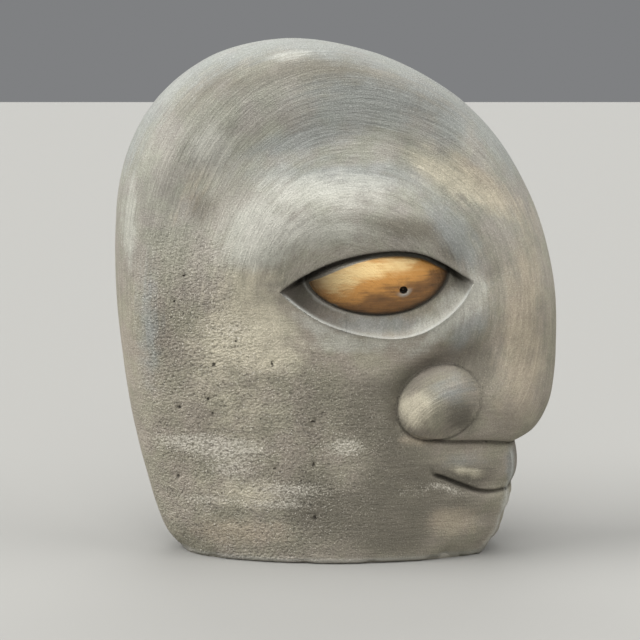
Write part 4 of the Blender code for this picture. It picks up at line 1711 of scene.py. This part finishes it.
    def paste(self, nodes: Nodes, place: Any, masks: dict[str, Any], drag: Any) -> Any:
        """The dried cement's colour: two greys in clouds, tinged green or mauve, with broken drifts, some of
        them painted light and shade.

        Args:
            nodes: The tree.
            place: Object coordinates in millimetres.
            masks: The masks by name.
            drag: The broad strokes' noise, which drags the drifts' edges out.

        Returns:
            The colour.
        """
        clouds = grain(nodes, place, (self.cloud_size,) * 3, 4.0)
        clouds = nodes.add("MapRange", {0: clouds, 1: self.cloud_edge[0], 2: self.cloud_edge[1]})
        low, high = (nodes.add("Mix", {0: clouds, 6: linear(deep), 7: linear(grey)}, 2, data_type="RGBA")
                     for deep, grey in ((self.deep, self.grey), (self.high_deep, self.high_grey)))
        colour = nodes.add("Mix", {0: masks["high"], 6: low, 7: high}, 2, data_type="RGBA")
        tinge = grain(nodes, place, (self.tinge_size,) * 3, 4.0)
        tinge = nodes.add("MapRange", {0: tinge, 1: self.tinge_edge[0], 2: self.tinge_edge[1]})
        tinge = {0: tinge, 6: linear(self.olive), 7: linear(self.mauve)}
        tinge = nodes.add("Mix", tinge, 2, data_type="RGBA")
        colour = nodes.add("Mix", {0: self.tinge_share, 6: colour, 7: tinge}, 2, data_type="RGBA")
        blotch = grain(nodes, place, (self.blotch_size,) * 3, 4.0)
        both = nodes.add("Math", {0: blotch, 1: drag}, operation="ADD")
        both = nodes.add("Math", {0: both, 1: 0.5}, operation="MULTIPLY")
        for drift in self.drifts:
            share = ragged(nodes, masks[drift.mask], both, self.drift_raggedness)
            share = nodes.add("Math", {0: share, 1: drift.strength}, operation="MULTIPLY")
            colour = nodes.add("Mix", {0: share, 6: colour, 7: linear(drift.colour)}, 2, data_type="RGBA")
        return shaded(nodes, colour, blotch, self.blotch_shade)

    def sanded(self, nodes: Nodes, colour: Any, masks: dict[str, Any], sand: Any, dust: Any) -> Any:
        """Bare sand and lime: grains light and dark, partly painted light and shade, white specks, chalky
        bloom in broken rows, and painted shade in the pits.

        Args:
            nodes: The tree.
            colour: The colour so far.
            masks: The masks by name.
            sand: The sand's noise.
            dust: The finer noise.

        Returns:
            The colour.
        """
        gain, least = self.sand_shade
        # Grains lighter on their tops and darker between them: partly the sand's own colour, partly painted
        # light and shade.
        gritty = nodes.add("Math", {0: masks["sandy"], 1: gain, 2: least}, operation="MULTIPLY_ADD")
        colour = shaded(nodes, colour, sand, gritty)
        colour = shaded(nodes, colour, dust, self.dust_shade)
        top = nodes.add("MapRange", {0: sand, 1: self.bloom_edge[0], 2: self.bloom_edge[1]})
        gain, least = self.bloom_share
        top = nodes.add("Math", {0: top, 1: gain, 2: least}, operation="MULTIPLY_ADD")
        bloom = ragged(nodes, masks["chalk"], dust, self.chalk_raggedness)
        bloom = nodes.add("Math", {0: bloom, 1: top}, operation="MULTIPLY")
        colour = nodes.add("Mix", {0: bloom, 6: colour, 7: linear(self.chalk)}, 2, data_type="RGBA")
        specks = nodes.add("MapRange", {0: dust, 1: self.speck_edge[0], 2: self.speck_edge[1]})
        gain, least = self.speck_share
        often = nodes.add("Math", {0: masks["sandy"], 1: gain, 2: least}, operation="MULTIPLY_ADD")
        often = {0: masks["chalk"], 1: self.chalk_specks, 2: often}
        often = nodes.add("Math", often, operation="MULTIPLY_ADD")
        specks = nodes.add("Math", {0: specks, 1: often}, operation="MULTIPLY")
        colour = nodes.add("Mix", {0: specks, 6: colour, 7: linear(self.speck)}, 2, data_type="RGBA")
        # Painted shade in the pits between the grains.
        pits = nodes.add("Math", {0: self.pits(nodes, sand, masks), 1: self.pit_shade}, operation="MULTIPLY")
        return nodes.add("Mix", {0: pits, 6: colour, 7: linear(self.shade_and_dirt)}, 2, data_type="RGBA")

    def grains(self, nodes: Nodes, place: Any) -> Any:
        """The sand's relief: cloudy grain with rounded grains, drawn coarser than sand so that it shows.

        Args:
            nodes: The tree.
            place: Object coordinates in millimetres.

        Returns:
            Values from 0 to 1 about a half.
        """
        cloudy = grain(nodes, place, self.sand_size, 2.0)
        scaled = nodes.add("VectorMath", {0: place, 1: self.pebble_size}, operation="DIVIDE")
        away = nodes.add("TexVoronoi", {"Vector": scaled, "Scale": 1.0}, "Distance")
        pebbles = nodes.add("Math", {0: away, 1: -1.0, 2: 1.0}, operation="MULTIPLY_ADD")
        return nodes.add("Mix", {0: self.pebble_share, 2: cloudy, 3: pebbles}, data_type="FLOAT")

    def pits(self, nodes: Nodes, sand: Any, masks: dict[str, Any]) -> Any:
        """Small pits between the sand grains: where the sand's noise is low and the surface is sandy.

        Args:
            nodes: The tree.
            sand: The sand's noise.
            masks: The masks by name.

        Returns:
            The mask, one in a pit.
        """
        start, full = self.pit_edge
        low = nodes.add("MapRange", {0: sand, 1: start, 2: full}, interpolation_type="SMOOTHSTEP")
        return nodes.add("Math", {0: low, 1: masks["sandy"]}, operation="MULTIPLY")

    def height(self, nodes: Nodes, masks: dict[str, Any], streak: Any, drag: Any, sand: Any,
               dust: Any) -> Any:
        """The fine relief in millimetres: brush lines and trowel drag where smooth, sand where rough.

        Args:
            nodes: The tree.
            masks: The masks by name.
            streak: The fine strokes' noise.
            drag: The broad strokes' noise.
            sand: The sand's noise.
            dust: The finer noise.

        Returns:
            The height.
        """
        smooth = {0: masks["sandy"], 1: self.smooth_where_sandy, 2: 1.0}
        smooth = nodes.add("Math", smooth, operation="MULTIPLY_ADD")
        smooth = {0: masks["calm"], 1: self.smooth_where_calm, 2: smooth}
        smooth = nodes.add("Math", smooth, operation="MULTIPLY_ADD")
        gain, least = self.sand_relief
        rough = nodes.add("Math", {0: masks["sandy"], 1: gain, 2: least}, operation="MULTIPLY_ADD")
        height = nodes.add("Math", {0: drag, 1: self.drag_relief}, operation="MULTIPLY")
        height = nodes.add("Math", {0: streak, 1: self.streak_relief, 2: height}, operation="MULTIPLY_ADD")
        height = nodes.add("Math", {0: height, 1: smooth}, operation="MULTIPLY")
        height = nodes.add("Math", {0: sand, 1: rough, 2: height}, operation="MULTIPLY_ADD")
        pits = {0: self.pits(nodes, sand, masks), 1: self.pit_relief, 2: height}
        height = nodes.add("Math", pits, operation="MULTIPLY_ADD")
        return nodes.add("Math", {0: dust, 1: self.dust_relief, 2: height}, operation="MULTIPLY_ADD")

    def air_hole_shade(self, nodes: Nodes, place: Any, work: Workmanship) -> Any:
        """Painted shade, with grime, inside the air holes: the least distance from any, as a share of its
        size, with a wobble.

        Args:
            nodes: The tree.
            place: Object coordinates in millimetres.
            work: Where the air holes are.

        Returns:
            The mask: one inside a hole.
        """
        least = ENDLESS
        for side in Side:
            holes = work.holes_on(side)
            centres = work.form.in_space(np.array([hole.place for hole in holes]), side) / MM
            for hole, centre in zip(holes, centres):
                scale = 1.0 / np.array([self.hole_thickness * hole.radius, *hole.scale()])
                scaled = nodes.add("VectorMath", {0: place, 1: tuple(scale)}, operation="MULTIPLY")
                middle = tuple(centre * scale)
                away = nodes.add("VectorMath", {0: scaled, 1: middle}, "Value", operation="DISTANCE")
                least = nodes.add("Math", {0: away, 1: least}, operation="MINIMUM")
        wobble = grain(nodes, place, self.wobble_size, 1.0)
        uneven = nodes.add("Math", {0: wobble, 1: self.hole_wobble, 2: least}, operation="MULTIPLY_ADD")
        start, full = self.hole_edge
        inside = nodes.add("MapRange", {0: uneven, 1: start, 2: full}, interpolation_type="SMOOTHSTEP")
        return nodes.add("Math", {0: inside, 1: self.shade_and_dirt_share}, operation="MULTIPLY")


# The head


@dataclass(frozen=True)
class ConcreteHead:
    """The whole casting as one closed mesh: two carved sides joined along the silhouette, and a flat foot."""

    form: HeadForm = HeadForm()
    finish: TrowelledConcrete = TrowelledConcrete()
    name: str = "concrete_head_finished"
    node: str = "concrete_head"
    slot: str = "trowelled_concrete"
    rings: tuple[tuple[int, int], ...] = ((34, 102), (24, 58))
    sharp_angle: float = 50.0
    seam_reach: float = 0.004

    def sheet(self, places: Array, on_silhouette: int, side: Side, work: Workmanship) -> tuple[Array, Array]:
        """One carved side: the half thickness on the grid, moved along its normal by the workmanship.

        Args:
            places: Places on the side view by ring and column.
            on_silhouette: How many columns end on the silhouette.
            side: Which side of the head.
            work: The unevenness.

        Returns:
            Points in space by ring and column, and the strokes' coordinates there.
        """
        flat = places.reshape(-1, 2)
        points = self.form.in_space(flat, side).reshape(*places.shape[:2], 3)
        points[-1, :on_silhouette, 0] = 0.0
        around = np.roll(points, -1, axis=1) - np.roll(points, 1, axis=1)
        normals = np.cross(np.gradient(points, axis=0), around) * side.value
        normals[-1, :on_silhouette, 0] = 0.0
        normals /= np.maximum(np.linalg.norm(normals, axis=-1, keepdims=True), TINY)
        depth = work.relief(points.reshape(-1, 3), flat, side).reshape(places.shape[:2])
        still = step(np.abs(points[..., 0]) / self.seam_reach)
        on_seam = work.relief(points[-1] * (0.0, 1.0, 1.0), places[-1], Side.SHOWN)
        depth = still * depth + (1.0 - still) * on_seam
        stroke = work.stroke(points.reshape(-1, 3), flat).reshape(points.shape)
        moved = points + depth[..., None] * normals
        moved[-1, on_silhouette:, 2] = 0.0
        return moved, stroke

    def build(self) -> bpy.types.Object:
        """The mesh, its masks and its material.

        Returns:
            The head's object, riding on the casting and standing for its solid.
        """
        work = Workmanship(self.form)
        weathering_and_light = WeatheringAndPaintedLight(self.form, work)
        grids, on_silhouette = RingGrid(self.form).places(self.rings)
        grids = [work.pulled(places, side) for places, side in zip(grids, Side)]
        made = [self.sheet(places, on_silhouette, side, work) for places, side in zip(grids, Side)]
        sheets, strokes = ([part.reshape(-1, 3) for part in parts] for parts in zip(*made))
        masks = [weathering_and_light.masks(places.reshape(-1, 2), side) for places, side in zip(grids, Side)]
        middles = [sheet[:places.shape[1]].mean(axis=0) for sheet, places in zip(sheets, grids)]
        points = np.vstack(sheets + middles)
        kept, faces = self.faces([places.shape[:2] for places in grids], on_silhouette)

        low, high = (np.array(corner) for corner in CAD_BOX)
        mesh = bpy.data.meshes.new(self.name)
        mesh.from_pydata(np.clip(points, low, high)[kept].tolist(), [], faces)
        mesh.shade_smooth()
        mesh.set_sharp_from_angle(angle=math.radians(self.sharp_angle))
        for name in masks[0]:
            value = np.concatenate([masks[0][name], masks[1][name], np.zeros(2)])[kept]
            mesh.attributes.new(name, "FLOAT", "POINT").data.foreach_set("value", value.astype(np.float32))
        flow = np.vstack(strokes + [np.zeros((2, 3))])[kept].astype(np.float32)
        mesh.attributes.new("stroke", "FLOAT_VECTOR", "POINT").data.foreach_set("vector", flow.ravel())
        mesh.materials.append(self.finish.material(work))
        head = bpy.data.objects.new(self.name, mesh)
        bpy.context.collection.objects.link(head)
        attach(head, "root")
        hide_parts(self.node)
        return head

    def faces(self, shapes: list[tuple[int, int]], on_silhouette: int) -> tuple[Array, list[list[int]]]:
        """The faces' corners: the two sides joined along the silhouette, the pupils' bottoms and the foot.

        Args:
            shapes: The rings and columns of each side.
            on_silhouette: How many columns end on the silhouette.

        Returns:
            Which points are used, of the sides' points in order and the two pupils' middles, and the corners
            of each face, counted among those.
        """
        sizes = [rings * columns for rings, columns in shapes]
        shown, far = (start + np.arange(size).reshape(shape)
                      for start, size, shape in zip((0, sizes[0]), sizes, shapes))
        far[-1, :on_silhouette] = shown[-1, :on_silhouette]
        foot = self.foot_quads(shown, far, on_silhouette)
        quads = np.vstack([self.side_quads(shown)[:, ::-1], self.side_quads(far), foot])
        fans = np.vstack([self.fan(shown, sum(sizes))[:, ::-1], self.fan(far, sum(sizes) + 1)])
        kept = np.unique(np.concatenate([quads.ravel(), fans.ravel()]))
        number = np.zeros(sum(sizes) + 2, int)
        number[kept] = np.arange(len(kept))
        return kept, [list(dict.fromkeys(face)) for face in number[quads].tolist()] + number[fans].tolist()

    @staticmethod
    def side_quads(index: Array) -> Array:
        """The quads between the rings of one side, by vertex number, facing +X."""
        onward = np.roll(index, -1, axis=1)
        return np.stack([index[:-1], index[1:], onward[1:], onward[:-1]], axis=-1).reshape(-1, 4)

    @staticmethod
    def fan(index: Array, centre: int) -> Array:
        """The triangles at the bottom of the pupil's hole, by vertex number, facing +X."""
        return np.stack([np.full(index.shape[1], centre), index[0], np.roll(index[0], -1)], axis=-1)

    @staticmethod
    def foot_quads(shown: Array, far: Array, on_silhouette: int) -> Array:
        """The flat underside: quads across from one side's lower edge to the other's, facing down.

        Args:
            shown: The shown side's vertex numbers by ring and column.
            far: The far side's.
            on_silhouette: How many columns end on the silhouette.

        Returns:
            The quads; the first and the last have two corners alike, so they are triangles.
        """
        one, other = (np.append(index[-1, on_silhouette - 1:], index[-1, 0]) for index in (shown, far))
        return np.stack([one[:-1], one[1:], other[1:], other[:-1]], axis=-1)


# The studio


@dataclass(frozen=True)
class SoftLight:
    """A wide soft light far off: where it comes from, watts a square metre, and its colour."""

    name: str
    toward: Triple
    strength: float
    colour: str


@dataclass(frozen=True)
class Studio:
    """A pale floor under an even pale surround, with wide soft lights from above on all sides."""

    floor_colour: str = "#94938f"
    surround_colour: str = "#e9ebee"
    surround_strength: float = 0.26
    floor_half: float = 6.0
    floor_lines: int = 9
    floor_roughness: float = 0.9
    spread: float = 40.0
    lights: tuple[SoftLight, ...] = (
        SoftLight("above", (-0.06, 0.0, 1.0), 1.3, "#ffffff"),
        SoftLight("above_and_behind_the_head", (-0.27, 1.08, 1.0), 2.95, "#ffffff"),
        SoftLight("above_the_camera", (-1.03, 0.0, 1.0), 1.2, "#ffffff"),
        SoftLight("above_and_before_the_face", (-0.27, -1.08, 1.0), 1.1, "#ffffff"),
        SoftLight("above_the_far_side", (0.8, 0.0, 1.0), 0.9, "#ffffff"))

    def build(self) -> None:
        """Makes the floor, the lights and the surround."""
        self.floor()
        for lamp in self.lights:
            self.lamp(lamp)
        world = bpy.data.worlds.new("surround")
        world.use_nodes = True
        world.node_tree.nodes.clear()
        nodes = Nodes(world.node_tree)
        light = {"Color": linear(self.surround_colour), "Strength": self.surround_strength}
        glow = nodes.add("Background", light)
        nodes.add("OutputWorld", {"Surface": glow})
        bpy.context.scene.world = world
        bpy.context.scene.view_settings.view_transform = "Standard"

    def floor(self) -> bpy.types.Object:
        """A plain floor of matt painted board, which gives an even pale ground with no gloss: a flat grid.

        Returns:
            The floor's object.
        """
        marks = np.linspace(-self.floor_half, self.floor_half, self.floor_lines)
        x, y = np.meshgrid(marks, marks, indexing="ij")
        points = np.stack([x, y, np.zeros_like(x)], axis=-1).reshape(-1, 3)
        index = np.arange(len(points)).reshape(x.shape)
        corners = (index[:-1, :-1], index[1:, :-1], index[1:, 1:], index[:-1, 1:])
        quads = np.stack(corners, axis=-1).reshape(-1, 4)
        mesh = bpy.data.meshes.new("studio_floor")
        mesh.from_pydata(points.tolist(), [], quads.tolist())
        material, nodes = fresh_material("matt_painted_floor")
        paint = {"Base Color": linear(self.floor_colour), "Roughness": self.floor_roughness}
        shader = nodes.add("BsdfPrincipled", paint)
        nodes.add("OutputMaterial", {"Surface": shader})
        mesh.materials.append(material)
        made = bpy.data.objects.new("studio_floor", mesh)
        bpy.context.collection.objects.link(made)
        return made

    def lamp(self, light: SoftLight) -> bpy.types.Object:
        """One soft light, shining from where it is toward the head.

        Args:
            light: Its description.

        Returns:
            The lamp's object.
        """
        lamp = bpy.data.lights.new(light.name, "SUN")
        lamp.angle = math.radians(self.spread)
        lamp.energy = light.strength
        lamp.color = linear(light.colour)[:3]
        made = bpy.data.objects.new(light.name, lamp)
        bpy.context.collection.objects.link(made)
        made.location = light.toward
        made.rotation_euler = (-Vector(light.toward)).to_track_quat("-Z", "Y").to_euler()
        return made


@dataclass(frozen=True)
class Viewpoint:
    """The camera: about a metre from the middle of the head, just above its top, looking slightly down."""

    place: Triple = (-1.0251, 0.00965, 0.30842)
    downward: float = 9.5
    lens: float = 100.0
    sensor: float = 36.0

    def build(self) -> bpy.types.Object:
        """The camera, made the scene's own.

        Returns:
            The camera's object.
        """
        camera = bpy.data.cameras.new("camera")
        camera.lens = self.lens
        camera.sensor_width = self.sensor
        camera.dof.use_dof = False
        made = bpy.data.objects.new("camera", camera)
        bpy.context.collection.objects.link(made)
        made.location = self.place
        made.rotation_euler = (math.radians(90.0 - self.downward), 0.0, math.radians(-90.0))
        bpy.context.scene.camera = made
        return made


def report(piece: bpy.types.Object) -> None:
    """Logs a piece's name, number of triangles and size in millimetres.

    Args:
        piece: The piece.
    """
    triangles = sum(len(face.vertices) - 2 for face in piece.data.polygons)
    size = " x ".join(f"{side / MM:.1f}" for side in piece.dimensions)
    log.info("%s: %d triangles, %s mm", piece.name, triangles, size)


def write_sizes() -> None:
    """Brings the view layer up to date."""
    bpy.context.view_layer.update()


def main() -> None:
    """Builds the camera, the head and the studio in order, and reports the head."""
    logging.basicConfig(level=logging.INFO, format="%(message)s")
    Viewpoint().build()
    report(ConcreteHead().build())
    Studio().build()
    write_sizes()


if __name__ == "__main__":
    main()
